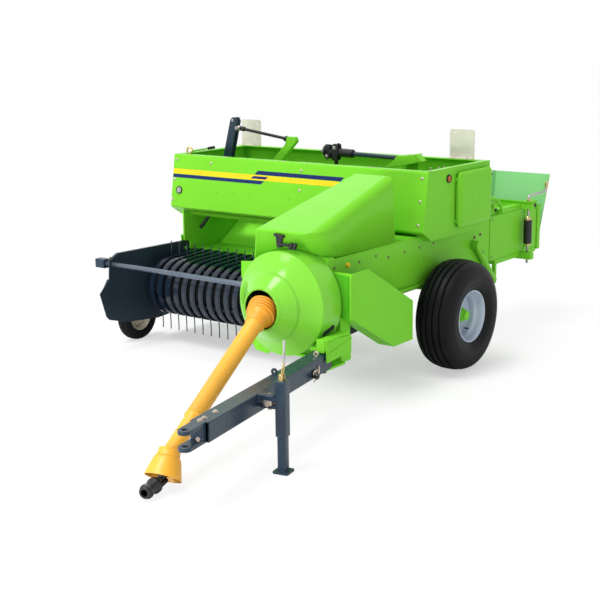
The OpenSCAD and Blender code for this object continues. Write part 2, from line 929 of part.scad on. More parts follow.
// Rim with a dished disc and a hub bored for its axle
module rim_at(p, w, rim_d, axle_r, dish) {
    r = rim_d / 2;
    well = r - 16;
    half = w * bead_share;
    hub_r = axle_r + 28;
    disc_t = 12;
    hub_in = 90;
    hub_out = 40;
    translate(p) rotate([0, 90, 0]) rotate_extrude() polygon([
        [axle_r + fit, dish - hub_in],
        [hub_r, dish - hub_in],
        [hub_r, dish - disc_t],
        [well, dish - disc_t],
        [well, -half],
        [r, -half],
        [r, half],
        [well, half],
        [well, dish],
        [hub_r, dish],
        [hub_r, dish + hub_out],
        [axle_r + fit, dish + hub_out]
    ]);
}

module left_tyre() {
    at(black) tyre_at([0, 0, left_d / 2], left_d, left_w, left_rim_d);
}

module left_rim() {
    at(steel) rim_at([0, 0, left_d / 2], left_w, left_rim_d, axle_d / 2, 20);
}

module right_tyre() {
    at(black) tyre_at([-track, right_trail, right_d / 2], right_d, right_w, right_rim_d);
}

module right_rim() {
    at(steel) rim_at([-track, right_trail, right_d / 2], right_w, right_rim_d, axle_d / 2, -20);
}

module gauge_tyre() {
    at(black) tyre_at([gauge_x, gauge_y, gauge_d / 2], gauge_d, gauge_w, 2 * gauge_rim_r);
}

module gauge_rim() {
    half = gauge_w * bead_share;
    hub_half = gauge_w * 0.45;
    well = gauge_rim_r - 10;
    hub_r = gauge_axle_r + 14;
    disc_half = 6;
    at(steel) translate([gauge_x, gauge_y, gauge_d / 2]) rotate([0, 90, 0]) rotate_extrude() polygon([
        [gauge_axle_r + fit, -hub_half],
        [hub_r, -hub_half],
        [hub_r, -disc_half],
        [well, -disc_half],
        [well, -half],
        [gauge_rim_r, -half],
        [gauge_rim_r, half],
        [well, half],
        [well, disc_half],
        [hub_r, disc_half],
        [hub_r, hub_half],
        [gauge_axle_r + fit, hub_half]
    ]);
}

// Frame of the drawbar: its pivot at the origin, its length along -Y
module along_bar() {
    translate([pivot_x, pivot_y, bar_z]) rotate([0, 0, bar_yaw]) children();
}

module drawbar() {
    half = bar_side / 2;
    end = bar_len - clevis_l;
    at(navy) along_bar() difference() {
        union() {
            cylinder(h = bar_side, r = half);
            block([-half, -end, 0], [half, 0, bar_side]);
            block([half, -jack_along - arm_half, bar_side - arm_h],
                  [jack_out - jack_side / 2, -jack_along + arm_half, bar_side]);
        }
        block([bar_wall - half, -end - cut, bar_wall], [half - bar_wall, -bar_solid, bar_side - bar_wall]);
        translate([0, 0, -cut]) cylinder(h = bar_side + 2 * cut, r = pivot_r + fit);
    }
}

module clevis() {
    root = clevis_l - bar_len;
    at(navy) along_bar() difference() {
        union() {
            for (z = [0, bar_side - ear_t]) {
                block([-clevis_r, -bar_len, z], [clevis_r, root, z + ear_t]);
                translate([0, -bar_len, z]) cylinder(h = ear_t, r = clevis_r);
            }
            block([-clevis_r, root - clevis_base, 0], [clevis_r, root, bar_side]);
        }
        translate([0, -bar_len, -cut]) cylinder(h = bar_side + 2 * cut, r = hitch_d / 2);
    }
}

module jack_tube() {
    o = jack_side / 2;
    i = leg_side / 2 + leg_slack;
    at(navy) translate([jack_x, jack_y, 0]) rotate([0, 0, bar_yaw]) difference() {
        block([-o, -o, jack_bottom], [o, o, jack_top]);
        block([-i, -i, jack_bottom - cut], [i, i, jack_top - jack_cap]);
    }
}

module jack_leg() {
    h = leg_side / 2;
    f = foot_side / 2;
    at(navy) translate([jack_x, jack_y, 0]) {
        block([-f, -f, 0], [f, f, foot_t]);
        rotate([0, 0, bar_yaw]) block([-h, -h, foot_t], [h, h, leg_top]);
    }
}

// Frame of the parked drive shaft: its joint at the origin, its length along +Z
module along_shaft() {
    translate([guard_x, joint_y, drive_z]) rotate([90 + shaft_drop, 0, shaft_yaw]) children();
}

module shaft_cross() {
    at(steel) translate([guard_x, joint_y, drive_z]) rotate([0, 0, shaft_yaw]) {
        sphere(r = cross_r);
        translate([0, 0, -yoke_out]) cylinder(h = 2 * yoke_out, r = cross_pin_r);
        bar_x(-yoke_out, yoke_out, 0, 0, cross_pin_r);
    }
}

// Ribbed cone over the joint
module shaft_cone() {
    skirt = cone_start + rib_count * rib_pitch;
    crest = 11;
    neck_r = 56;
    neck_bore = 30;
    at(yellow) along_shaft() rotate_extrude() polygon(concat(
        [for (i = [0:rib_count - 1]) each [
            [cone_r - i * rib_taper, cone_start + i * rib_pitch],
            [cone_r - rib_depth - i * rib_taper, cone_start + i * rib_pitch + crest]
        ]],
        [[cone_bore + rib_depth, skirt], [neck_r, cone_end], [neck_bore, cone_end],
         [neck_bore, skirt + rib_pitch], [cone_bore, skirt - crest], [cone_bore, cone_start]]
    ));
}

// Inner yoke and stub, then the guard's outer and inner tubes
module shaft_tube() {
    at(yellow) along_shaft() {
        rotate([0, 0, 90]) yoke();
        translate([0, 0, yoke_base]) cylinder(h = cone_end - yoke_base, r = stub_r);
        translate([0, 0, cone_end]) cylinder(h = tube_step - cone_end, r = outer_tube_r);
        translate([0, 0, tube_step]) cylinder(h = tube_end - tube_step, r = inner_tube_r);
    }
}

module shaft_front_cone() {
    lip_z = bell_len - 25;
    at(yellow) along_shaft() translate([0, 0, tube_end]) rotate_extrude() polygon([
        [0, 0],
        [bell_neck_r - 8, 0],
        [bell_neck_r, bell_neck - 4],
        [bell_r - 4, lip_z],
        [bell_r, bell_len],
        [bell_r - bell_lip, bell_len],
        [bell_neck_r - bell_lip, bell_neck],
        [0, bell_neck]
    ]);
}

module shaft_yoke() {
    hub_z = shaft_len - yoke_hub;
    shank_z = tube_end + bell_neck;
    at(black) along_shaft() difference() {
        union() {
            translate([0, 0, shank_z]) cylinder(h = hub_z + cut - shank_z, r = yoke_shank_r);
            translate([0, 0, hub_z]) cylinder(h = yoke_hub, r = yoke_hub_r);
        }
        translate([0, 0, shaft_len - yoke_depth]) cylinder(h = yoke_depth + cut, r = yoke_bore_r);
    }
}

// Cover ahead of the left wheel: outer sheet with a flange at its front and foot
module side_guard() {
    x1 = left_x + guard_out;
    inner_x = x1 - guard_t;
    flange_x = left_x + frame_left;
    top = chamber_top - guard_drop;
    nose = chamber_z - guard_nose;
    knee = front_y + guard_knee;
    back = front_y + guard_back;
    lap = 3;
    at(lime) {
        slab(inner_x, x1, [
            [front_y, top],
            [front_y + guard_flat, top],
            [back, chamber_z - guard_tail],
            [back, guard_foot],
            [knee, guard_foot],
            [front_y, nose]
        ]);
        block([left_x, front_y, nose], [inner_x, front_y + guard_t, top]);
        slab(flange_x, inner_x, [
            [front_y + guard_t, nose - lap],
            [knee, guard_foot],
            [knee, guard_foot + guard_t],
            [front_y + guard_t, nose + lap]
        ]);
        block([flange_x, knee, guard_foot], [inner_x, back, guard_foot + guard_t]);
    }
}

module side_door() {
    sleeve_in = knuckle_in + knuckle_h + knuckle_room;
    sleeve_z = door_z0 + sleeve_in;
    sleeve_h = door_h - 2 * sleeve_in;
    inner_x = box_left_x + door_gap;
    outer_x = box_left_x + door_t;
    at(lime) difference() {
        union() {
            block([inner_x, door_y0 + door_edge, door_z0], [outer_x, door_y0 + door_w, door_z0 + door_h]);
            translate([door_pin_x, door_pin_y, sleeve_z]) cylinder(h = sleeve_h, r = knuckle_r);
            block([door_pin_x - knuckle_r / 2, door_pin_y, sleeve_z],
                  [outer_x, door_y0 + door_edge + cut, sleeve_z + sleeve_h]);
        }
        translate([door_pin_x, door_pin_y, sleeve_z - cut])
            cylinder(h = sleeve_h + 2 * cut, r = door_pin_r + fit);
    }
}

// Chute, folded up: a hinge sleeve, a tapered panel on a narrow tongue and two flared flanges
module bale_chute() {
    lug_room = 5;
    sleeve = (chute_lug_left_x - chute_lug_right_x - chute_lug_w) / 2 - lug_room;
    tongue = sleeve - chute_pin_r;
    edge_angle = atan2(chute_high - chute_low, chute_len - chute_shoulder);
    edge_len = (chute_len - chute_shoulder) / cos(edge_angle);
    flange_start = chute_shoulder / 2;
    at(lime) translate([mid_chamber_x, chute_y, chute_z]) difference() {
        union() {
            bar_x(-sleeve, sleeve, 0, 0, chute_sleeve_r);
            rotate([90 - chute_lean, 0, 0]) {
                translate([0, 0, -chute_t]) linear_extrude(chute_t) polygon([
                    [-tongue, 0], [tongue, 0], [tongue, chute_shoulder], [chute_low, chute_shoulder],
                    [chute_high, chute_len], [-chute_high, chute_len], [-chute_low, chute_shoulder],
                    [-tongue, chute_shoulder]
                ]);
                for (side = [0, 1]) mirror([side, 0, 0])
                    translate([chute_low, chute_shoulder, -chute_t]) rotate([0, 0, -edge_angle])
                        rotate([0, chute_flare, 0])
                            block([-chute_t, flange_start, 0], [0, edge_len - cut, chute_flange]);
            }
        }
        bar_x(-sleeve - cut, sleeve + cut, 0, 0, chute_pin_r + fit);
    }
}

// Corners of a pickup end plate in side view, about the reel's axis
plate_corners = [
    [-595, 26], [-505, 115], [-495, 240], [-411, 282], [320, 271], [341, 240], [321, 183],
    [283, 155], [385, -85], [385, -220], [-50, -245], [-358, -215], [-518, -168], [-544, -141]
];

module pickup_plate(x0, x1) {
    difference() {
        slab(x0, x1, [for (p = plate_corners) [reel_y, reel_z] + p]);
        bar_x(x0 - cut, x1 + cut, hinge_y, hinge_z, hinge_r + fit);
        bar_x(x0 - cut, x1 + cut, reel_y, reel_z, reel_shaft_r + fit);
        bar_x(x0 - cut, x1 + cut, windbar_y, windbar_z, windbar_r + fit);
    }
}

module pickup_right_plate() {
    at(navy) pickup_plate(pick_right_x - plate_t, pick_right_x);
}

module pickup_left_plate() {
    at(navy) pickup_plate(pick_left_x, pick_left_x + plate_t);
}

// Stripper bands between the tines, on a beam above and below
module stripper_bands() {
    steps = 14;
    tail_z = beam_top + band_t;
    low_z = reel_z - band_r;
    function arc(r) = [for (i = [0:steps]) let (a = 90 + 180 * i / steps)
        [reel_y + r * cos(a), reel_z + r * sin(a)]];
    outline = concat(
        [[beam_rear, tail_z]], arc(band_r), [[low_beam_y, low_z]],
        [[low_beam_y, low_z + band_t]], turned(arc(band_r - band_t)), [[beam_rear, tail_z - band_t]]
    );
    at(navy) {
        for (i = [0:tines - 2]) {
            x = tine_x0 + pitch * (i + 0.5);
            slab(x - band_w / 2, x + band_w / 2, outline);
        }
        block([pick_right_x, beam_front, beam_top - beam_h], [pick_left_x, beam_rear, beam_top]);
        block([pick_right_x, low_beam_y - low_beam_w, low_z], [pick_left_x, low_beam_y, low_z + low_beam_h]);
    }
}

module windguard_bar() {
    at(steel) bar_x(x_min, pick_left_x + windbar_in, windbar_y, windbar_z, windbar_r);
}

module gauge_axle() {
    end_room = 6;
    at(navy) bar_x(gauge_x - gauge_w / 2 - end_room, pick_right_x - plate_t, gauge_y, gauge_d / 2, gauge_axle_r);
}

// Reel: shaft, spiders, and two opposite rows of tines
module reel() {
    row_angles = [242, 62];
    spider_t = 8;
    spider_half = 20;
    shaft_end = 14;
    spiders = [pick_right_x + 20, pick_left_x - 20 - spider_t];
    at(navy) translate([0, reel_y, reel_z]) {
        bar_x(pick_right_x - shaft_end, pick_left_x + shaft_end, 0, 0, reel_shaft_r);
        for (a = row_angles) rotate([a - 90, 0, 0]) {
            for (x = spiders)
                block([x, -spider_half, 0], [x + spider_t, spider_half, tine_bar_at + spider_half]);
            bar_x(spiders[0], spiders[1] + spider_t, 0, tine_bar_at, tine_bar_r);
            for (i = [0:tines - 1])
                translate([tine_x0 + pitch * i, 0, tine_bar_at]) cylinder(h = tip_r - tine_bar_at, r = tine_r);
        }
    }
}

chamber_left_wall();
chamber_right_wall();
chamber_floor();
chamber_roof();
front_frame();
hood();
flywheel_guard();
flywheel_gearbox();
box_front();
box_left_side();
box_right_side();
box_rear();
box_floor();
feeder_floor();
feeder_end_wall();
axle();
feeder_rail();
packer_fingers();
feeder_post();
feeder_rod();
feeder_lever();
packer_link();
packer_bracket();
lamp_plates();
knotter();
needle_yoke();
tension_rails();
tension_screws();
left_tyre();
left_rim();
right_tyre();
right_rim();
drawbar();
clevis();
jack_tube();
jack_leg();
shaft_cross();
shaft_cone();
shaft_tube();
shaft_front_cone();
shaft_yoke();
side_guard();
side_door();
bale_chute();
pickup_right_plate();
pickup_left_plate();
stripper_bands();
windguard_bar();
gauge_axle();
reel();
gauge_tyre();
gauge_rim();
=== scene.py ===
import math

import bmesh
import bpy
from mathutils import Matrix, Vector


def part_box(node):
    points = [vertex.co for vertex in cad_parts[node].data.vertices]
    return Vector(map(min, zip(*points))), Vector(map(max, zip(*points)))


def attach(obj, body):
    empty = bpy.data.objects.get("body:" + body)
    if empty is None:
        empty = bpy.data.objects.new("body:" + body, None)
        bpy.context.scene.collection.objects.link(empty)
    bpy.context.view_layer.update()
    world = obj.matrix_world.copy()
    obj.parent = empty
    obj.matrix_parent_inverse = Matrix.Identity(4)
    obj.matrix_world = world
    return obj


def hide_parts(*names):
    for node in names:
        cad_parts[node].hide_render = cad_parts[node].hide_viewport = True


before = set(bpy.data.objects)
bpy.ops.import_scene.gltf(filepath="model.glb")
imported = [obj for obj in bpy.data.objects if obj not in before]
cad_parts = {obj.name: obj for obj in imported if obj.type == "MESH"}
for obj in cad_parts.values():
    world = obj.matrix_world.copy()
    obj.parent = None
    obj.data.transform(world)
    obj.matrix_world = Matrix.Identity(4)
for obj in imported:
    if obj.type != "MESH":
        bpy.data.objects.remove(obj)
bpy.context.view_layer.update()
scene = bpy.context.scene

# Pieces are drawn in machine axes, in millimetres: X to the machine's left, Y to its rear, Z up,
# from the ground below the left wheel's middle.
MM = 0.001
ACROSS = Vector((1, 0, 0))
UP = Vector((0, 0, 1))
tyre_lo, tyre_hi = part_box("left_tyre")
ORIGIN = Vector(((tyre_lo.x + tyre_hi.x) / 2, (tyre_lo.y + tyre_hi.y) / 2, 0))
TO_FRAME = Matrix.Translation(ORIGIN) @ Matrix.Scale(MM, 4)


def machine_box(node):
    """Corners of a CAD node in machine millimetres."""
    lo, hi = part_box(node)
    return (lo - ORIGIN) / MM, (hi - ORIGIN) / MM


def heading(yaw, drop=0.0):
    """Direction forwards, turned to the machine's left by yaw and dipped by drop."""
    return Vector((math.sin(yaw) * math.cos(drop), -math.cos(yaw) * math.cos(drop), -math.sin(drop)))


# Camera at the photograph's viewing angle
CAMERA_AT = Vector((3.6659, -6.4545, 2.1510))
CAMERA_TURN = math.radians(37.4)
CAMERA_DIP = math.radians(12.95)
CAMERA_ROLL = math.radians(-0.7)
CAMERA_LENS = 70.8


def add_camera():
    data = bpy.data.cameras.new("camera")
    data.lens = CAMERA_LENS
    data.sensor_width = 36
    data.clip_end = 200
    camera = bpy.data.objects.new("camera", data)
    tilt = Matrix.Rotation(math.pi / 2 - CAMERA_DIP, 4, "X") @ Matrix.Rotation(CAMERA_ROLL, 4, "Z")
    turn = Matrix.Rotation(CAMERA_TURN, 4, "Z") @ tilt
    camera.matrix_world = Matrix.Translation(ORIGIN + CAMERA_AT) @ turn
    scene.collection.objects.link(camera)
    scene.camera = camera


add_camera()
scene.view_settings.view_transform = "Standard"


# Materials


def feed(tree, node, inputs):
    """Sets a node's inputs, each to a constant or to a link from another node's output."""
    for key, value in inputs.items():
        if isinstance(value, bpy.types.NodeSocket):
            tree.links.new(value, node.inputs[key])
        else:
            node.inputs[key].default_value = value


def add_node(tree, kind, inputs, **settings):
    node = tree.nodes.new("ShaderNode" + kind)
    for key, value in settings.items():
        setattr(node, key, value)
    feed(tree, node, inputs)
    return node


def finish(name, colour, shade=0.86, rough=0.35, spread=0.08, metal=0.0, coat=0.0,
           mottle=2.5, grain=500.0, bump=0.04, cells=0.0, specular=0.5):
    """Principled material: mottled colour, uneven roughness and a fine bump; cells adds zinc spangle."""
    mat = bpy.data.materials.new(name)
    mat.use_nodes = True
    tree = mat.node_tree
    where = add_node(tree, "TexCoord", {}).outputs["Object"]

    def noise(scale, detail):
        return add_node(tree, "TexNoise", {"Scale": scale, "Detail": detail, "Vector": where}).outputs["Fac"]

    if cells:
        spangle = add_node(tree, "TexVoronoi", {"Scale": cells, "Vector": where}).outputs["Color"]
        patches = add_node(tree, "SeparateColor", {"Color": spangle}).outputs["Red"]
        wear = patches
    else:
        patches = noise(mottle, 4)
        wear = noise(mottle * 5, 5)
    ramp = add_node(tree, "ValToRGB", {"Fac": patches})
    low, high = ramp.color_ramp.elements
    low.position = 0.3
    high.position = 0.7
    low.color = (*[c * shade for c in colour], 1)
    high.color = (*colour, 1)
    uneven = {"Value": wear, "To Min": max(rough - spread, 0.02), "To Max": rough + spread}
    relief = {"Height": noise(grain, 3), "Strength": bump, "Distance": 0.001}
    feed(tree, tree.nodes["Principled BSDF"], {
        "Base Color": ramp.outputs["Color"],
        "Roughness": add_node(tree, "MapRange", uneven).outputs["Result"],
        "Normal": add_node(tree, "Bump", relief).outputs["Normal"],
        "Metallic": metal,
        "Specular IOR Level": specular,
        "Coat Weight": coat,
        "Coat Roughness": 0.08,
    })
    return mat


LIME = finish("lime_paint", (0.185, 0.61, 0.032), shade=0.95, rough=0.24, specular=0.06, mottle=1.8,
              grain=260,
              bump=0.03)
LIME_GLOSS = finish("lime_gloss", (0.20, 0.60, 0.042), shade=0.95, rough=0.16, spread=0.03,
                    specular=0.24, mottle=1.8, grain=260, bump=0.02)
# Brighter copy of the lime paint for the feeder floor: painted light, standing in for light inside the
# shadowed feeder
LIME_PAINTED_LIGHT = finish("lime_painted_light", (0.30, 0.90, 0.06), shade=0.95, rough=0.16, specular=0.4, mottle=1.8,
                     grain=260)
# Darker copy of the lime paint: painted shade on the front face beside the side guard, which lies in shadow
LIME_PAINTED_SHADE = finish("lime_painted_shade", (0.085, 0.42, 0.018), shade=0.9, rough=0.3, specular=0.06,
                   mottle=1.8, grain=260)
LIME_PALE = finish("lime_pale", (0.27, 0.68, 0.27), shade=0.95, rough=0.36, specular=0.2, mottle=1.6,
                   grain=260)
NAVY = finish("navy_paint", (0.020, 0.032, 0.052), shade=0.8, rough=0.34, specular=0.3, mottle=3, grain=320)
BAND_NAVY = finish("band_navy", (0.008, 0.016, 0.031), shade=0.8, rough=0.16, mottle=3,
                   grain=90)
BAR_BLUE = finish("bar_blue", (0.13, 0.16, 0.21), shade=0.8, rough=0.26, metal=0.5, mottle=6, grain=320)
STEEL_NAVY = finish("grey_blue_paint", (0.020, 0.040, 0.066), shade=0.82, rough=0.28, specular=0.3, grain=320)
BLACK = finish("black_paint", (0.010, 0.011, 0.013), shade=0.7, rough=0.38, specular=0.4, grain=420,
               bump=0.06)
# Near-black paint for the reel's drum and the pickup's back sheet, and painted shade inside the flywheel
# cover's neck
DARK_PARTS_AND_PAINTED_SHADE = finish("dark_parts_and_painted_shade", (0.008, 0.008, 0.009), shade=0.6, rough=0.7, specular=0.2,
                mottle=9, grain=300, bump=0.2)
YELLOW = finish("guard_yellow", (0.86, 0.42, 0.030), shade=0.9, rough=0.42, mottle=4, grain=700, bump=0.05)
ORANGE = finish("guard_orange", (0.80, 0.33, 0.015), rough=0.42, mottle=4, grain=700,
                bump=0.05)
RUBBER = finish("tyre_rubber", (0.007, 0.007, 0.0085), shade=0.7, rough=0.46, spread=0.1, specular=0.11,
                mottle=7, grain=900, bump=0.25)
SILVER = finish("rim_silver", (0.45, 0.52, 0.62), shade=0.88, rough=0.36, metal=0.35, mottle=6, grain=900)
ZINC = finish("galvanised", (0.68, 0.66, 0.56), shade=0.94, rough=0.5, metal=0.25, cells=26)
BRASS = finish("yellow_zinc", (0.62, 0.48, 0.20), shade=0.75, rough=0.32, metal=0.8, mottle=40,
               grain=900)
BRONZE = finish("bronzed_bolt", (0.20, 0.13, 0.09), shade=0.6, rough=0.36, metal=0.5, mottle=45,
                grain=900)
BOLT = finish("plated_bolt", (0.60, 0.50, 0.42), shade=0.7, rough=0.34, metal=0.6, mottle=45,
              grain=900)
STEEL = finish("bare_steel", (0.46, 0.44, 0.43), shade=0.75, rough=0.34, metal=0.8, mottle=20, grain=700,
               bump=0.08)
TINE_STEEL = finish("spring_steel", (0.03, 0.04, 0.055), shade=0.75, rough=0.3, metal=0.7,
                    mottle=20, grain=700)
IRON = finish("cast_iron", (0.028, 0.026, 0.028), shade=0.65, rough=0.5, mottle=12, grain=260, bump=0.3)
PALE_HUB = finish("pale_hub", (0.62, 0.56, 0.44), shade=0.8, rough=0.5, mottle=18)
AMBER = finish("amber_lens", (0.55, 0.12, 0.010), shade=0.7, rough=0.2, specular=0.25,
               cells=260,
               grain=900)
LENS = finish("clear_lens", (0.42, 0.42, 0.42), shade=0.7, rough=0.16, coat=0.8, cells=260,
              grain=900)
DECAL_NAVY = finish("stripe_navy", (0.010, 0.022, 0.13), shade=0.85, rough=0.28, specular=0.2,
                    mottle=5, grain=800)
DECAL_GOLD = finish("stripe_gold", (0.92, 0.62, 0.016), shade=0.93, rough=0.28, specular=0.2,
                    mottle=5, grain=800)


# Mesh helpers, all in machine millimetres

def rect(u0, v0, u1, v1):
    return [(u0, v0), (u1, v0), (u1, v1), (u0, v1)]


def circle(u, v, r, steps=20):
    turns = [2 * math.pi * i / steps for i in range(steps)]
    return [(u + r * math.cos(a), v + r * math.sin(a)) for a in turns]


def rounded(points, radius, steps=6, closed=True):
    """Outline with its corners rounded; radius is one number or one for each corner."""
    n = len(points)
    radii = radius if isinstance(radius, list) else [radius] * n
    out = []
    for i, p in enumerate(points):
        if radii[i] <= 0 or (not closed and i in (0, n - 1)):
            out.append(tuple(p))
            continue
        p = Vector(p)
        a = (Vector(points[i - 1]) - p).normalized()
        b = (Vector(points[(i + 1) % n]) - p).normalized()
        half = a.angle(b) / 2
        reach = radii[i] / math.tan(half)
        middle = p + (a + b).normalized() * (radii[i] / math.sin(half))
        start = p + a * reach - middle
        end = p + b * reach - middle
        sweep = start.angle_signed(end)
        for k in range(steps + 1):
            t = -sweep * k / steps
            c, s = math.cos(t), math.sin(t)
            out.append((middle.x + c * start.x - s * start.y, middle.y + s * start.x + c * start.y))
    return out


def offset(path, t):
    """Open polyline moved to its right by t."""
    out = []
    for i, p in enumerate(path):
        a = Vector(path[max(i - 1, 0)])
        b = Vector(path[min(i + 1, len(path) - 1)])
        d = (b - a).normalized()
        out.append((p[0] + d.y * t, p[1] - d.x * t))
    return out


def strip(path, near, far):
    """Outline between two offsets of an open polyline."""
    return offset(path, near) + offset(path, far)[::-1]


def shell(outer, t):
    """Half section of a turned sheet of thickness t."""
    return outer + [(r - t, s) for r, s in outer[::-1]]


PLACES = {
    "x": lambda u, v, t: Vector((t, u, v)),
    "y": lambda u, v, t: Vector((u, t, v)),
    "z": lambda u, v, t: Vector((u, v, t)),
}


def prism(bm, outline, a, b, axis="x", holes=()):
    """Outline with holes, thick from a to b along an axis, or in a frame that a function gives."""
    place = PLACES.get(axis, axis)
    loops = [outline, *holes]
    ends = [[[bm.verts.new(place(u, v, t)) for u, v in loop] for loop in loops] for t in (a, b)]
    for end in ends:
        if holes:
            edges = [bm.edges.new((loop[i - 1], loop[i])) for loop in end for i in range(len(loop))]
            bmesh.ops.triangle_fill(bm, use_beauty=True, edges=edges)
        else:
            bm.faces.new(end[0])
    for low, high in zip(*ends):
        for i in range(len(low)):
            j = (i + 1) % len(low)
            bm.faces.new((low[i], low[j], high[j], high[i]))


def block(bm, lo, hi):
    (x0, y0, z0), (x1, y1, z1) = lo, hi
    prism(bm, rect(x0, y0, x1, y1), z0, z1, "z")


def folded(bm, path, radius, t, x0, x1):
    """Sheet of thickness t, folded along a side view path with rounded folds, from x0 to x1."""
    outer = rounded(path, radius, closed=False)
    prism(bm, outer + offset(outer, t)[::-1], x0, x1)


def skin(bm, loops, closed=False):
    """Faces between loops of equal length; a closed skin comes round to the first, an open one gets ends."""
    rings = [[bm.verts.new(p) for p in loop] for loop in loops]
    onward = rings[1:] + rings[:1] if closed else rings[1:]
    for low, high in zip(rings, onward):
        for k in range(len(low)):
            m = (k + 1) % len(low)
            bm.faces.new((low[k], low[m], high[m], high[k]))
    if not closed:
        bm.faces.new(rings[0])
        bm.faces.new(rings[-1])


def lathe(bm, section, centre, axis, steps=64):
    """Closed half section of (radius, along) points turned about an axis."""
    axis = Vector(axis).normalized()
    centre = Vector(centre)
    u = axis.orthogonal().normalized()
    v = axis.cross(u)
    loops = []
    for c, s in circle(0, 0, 1, steps):
        d = u * c + v * s
        loops.append([centre + axis * along + d * r for r, along in section])
    skin(bm, loops, closed=True)


def tube(bm, path, r, sides=12):
    """Round bar that follows a path."""
    path = [Vector(p) for p in path]
    loops = []
    normal = path[1] - path[0]
    normal = normal.normalized().orthogonal()
    for i, p in enumerate(path):
        d = (path[min(i + 1, len(path) - 1)] - path[max(i - 1, 0)]).normalized()
        normal = (normal - d * normal.dot(d)).normalized()
        side = d.cross(normal)
        loops.append([p + (normal * c + side * s) * r for c, s in circle(0, 0, 1, sides)])
    skin(bm, loops)


def rod(bm, a, b, r, sides=20, edge=1.5):
    """Straight round bar with small chamfers."""
    a, b = Vector(a), Vector(b)
    length = (b - a).length
    section = [(0, 0), (r - edge, 0), (r, edge), (r, length - edge), (r - edge, length), (0, length)]
    lathe(bm, section, a, b - a, sides)


def bolt(bm, at, out, r=9):
    """Washer and chamfered hexagon head."""
    lathe(bm, [(0, -1), (r * 1.35, -1), (r * 1.35, 1.6), (0, 1.6)], at, out, 18)
    lathe(bm, [(0, 1), (r, 1), (r, r * 0.6), (r * 0.85, r * 0.75), (0, r * 0.75)], at, out, 6)


def dome(bm, at, out, r=10):
    """Round bolt head."""
    section = [(0, -1), (r, -1), (r, 1.5), (r * 0.86, r * 0.34), (r * 0.5, r * 0.52), (0, r * 0.58)]
    lathe(bm, section, at, out, 16)


def soften(obj, width, segments):
    edge = obj.modifiers.new("soft_edges", "BEVEL")
    edge.width = width * MM
    edge.segments = segments
    edge.limit_method = "ANGLE"
    edge.angle_limit = math.radians(32)
    edge.harden_normals = True
    edge.use_clamp_overlap = True


def make(name, bm, mat, body="chassis", slot=None, bevel=0.0, segments=2, smooth=35, replaces=None):
    """Turns a mesh under construction into a piece that rides on a body, and may replace a CAD node."""
    bmesh.ops.remove_doubles(bm, verts=bm.verts, dist=0.01)
    bmesh.ops.recalc_face_normals(bm, faces=bm.faces)
    data = bpy.data.meshes.new(name)
    bm.to_mesh(data)
    bm.free()
    data.transform(TO_FRAME)
    data.shade_smooth()
    data.materials.append(mat)
    obj = bpy.data.objects.new(name, data)
    scene.collection.objects.link(obj)
    if bevel:
        soften(obj, bevel, segments)
    else:
        data.set_sharp_from_angle(angle=math.radians(smooth))
    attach(obj, body)
    if replaces:
        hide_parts(replaces)
    return obj


def piece(name, mat, *solids, **how):
    """Piece of one or more solids, each a mesh helper followed by its arguments."""
    bm = bmesh.new()
    for helper, *args in solids:
        helper(bm, *args)
    make(name, bm, mat, **how)


def dress(node, mat, bevel, segments=2):
    """Paints a CAD node and softens its edges."""
    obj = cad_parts[node]
    obj.data.materials.clear()
    obj.data.materials.append(mat)
    weld = obj.modifiers.new("weld", "WELD")
    weld.merge_threshold = 0.02 * MM
    flat = obj.modifiers.new("flat_faces", "DECIMATE")
    flat.decimate_type = "DISSOLVE"
    flat.angle_limit = math.radians(1)
    soften(obj, bevel, segments)


# CAD nodes that keep their shape
for name in ("chamber_left_wall", "chamber_right_wall", "chamber_floor", "chamber_roof", "knotter",
             "needle_yoke",
             "tension_rails", "box_rear", "box_floor", "feeder_rail", "axle", "side_guard"):
    dress(name, LIME, 3)
for name in ("pickup_right_plate", "pickup_left_plate"):
    dress(name, NAVY, 2)
for name in ("packer_fingers", "shaft_cross"):
    dress(name, BLACK, 2)
# Feeder floor in the brighter lime copy: painted light inside the shadowed feeder
dress("feeder_floor", LIME_PAINTED_LIGHT, 3)
dress("bale_chute", LIME_PALE, 2)
dress("gauge_axle", STEEL_NAVY, 3)
dress("windguard_bar", BAR_BLUE, 3)
dress("flywheel_gearbox", IRON, 3)
dress("drawbar", STEEL_NAVY, 9, 3)
dress("clevis", STEEL_NAVY, 4, 3)

# Hood over the bale chamber
CHAMBER_LEFT = -175
CHAMBER_RIGHT = -600
MIDDLE = (CHAMBER_LEFT + CHAMBER_RIGHT) / 2
CHAMBER_TOP = 873
CHAMBER_LOW = 555
PLATE_Y = -1165
HOOD_FRONT = -1290
HOOD_NOSE = 1036
HOOD_TOP = machine_box("hood")[1].z
HOOD_REAR_TOP = -492
HOOD_REAR_LOW = -463
HOOD_SLANT = 150
HOOD_LIP = 845
# Arch of the hood's front over the flywheel cover: X, Z and how far it is set back
HOOD_ARCH = [(-290, 916, 84), (-340, 928, 64), (MIDDLE, 932, 48), (-435, 928, 34), (-485, 916, 20)]
# How round each fold is, as a share of the widest
HOOD_FOLDS = [
    ("seam_left", "nose_left", 1.0), ("nose_left", "top_left", 0.5), ("nose_right", "nose_left", 0.12),
    ("nose_right", "top_right", 0.1), ("top_right", "top_left", 0.12), ("top_left", "rear_low_left", 0.1),
    ("front_low_right", "nose_right", 0.1), ("nose_right", "rear_right", 0.08),
    ("top_right", "rear_right", 0.08), ("rear_right", "rear_low_right", 0.08),
]


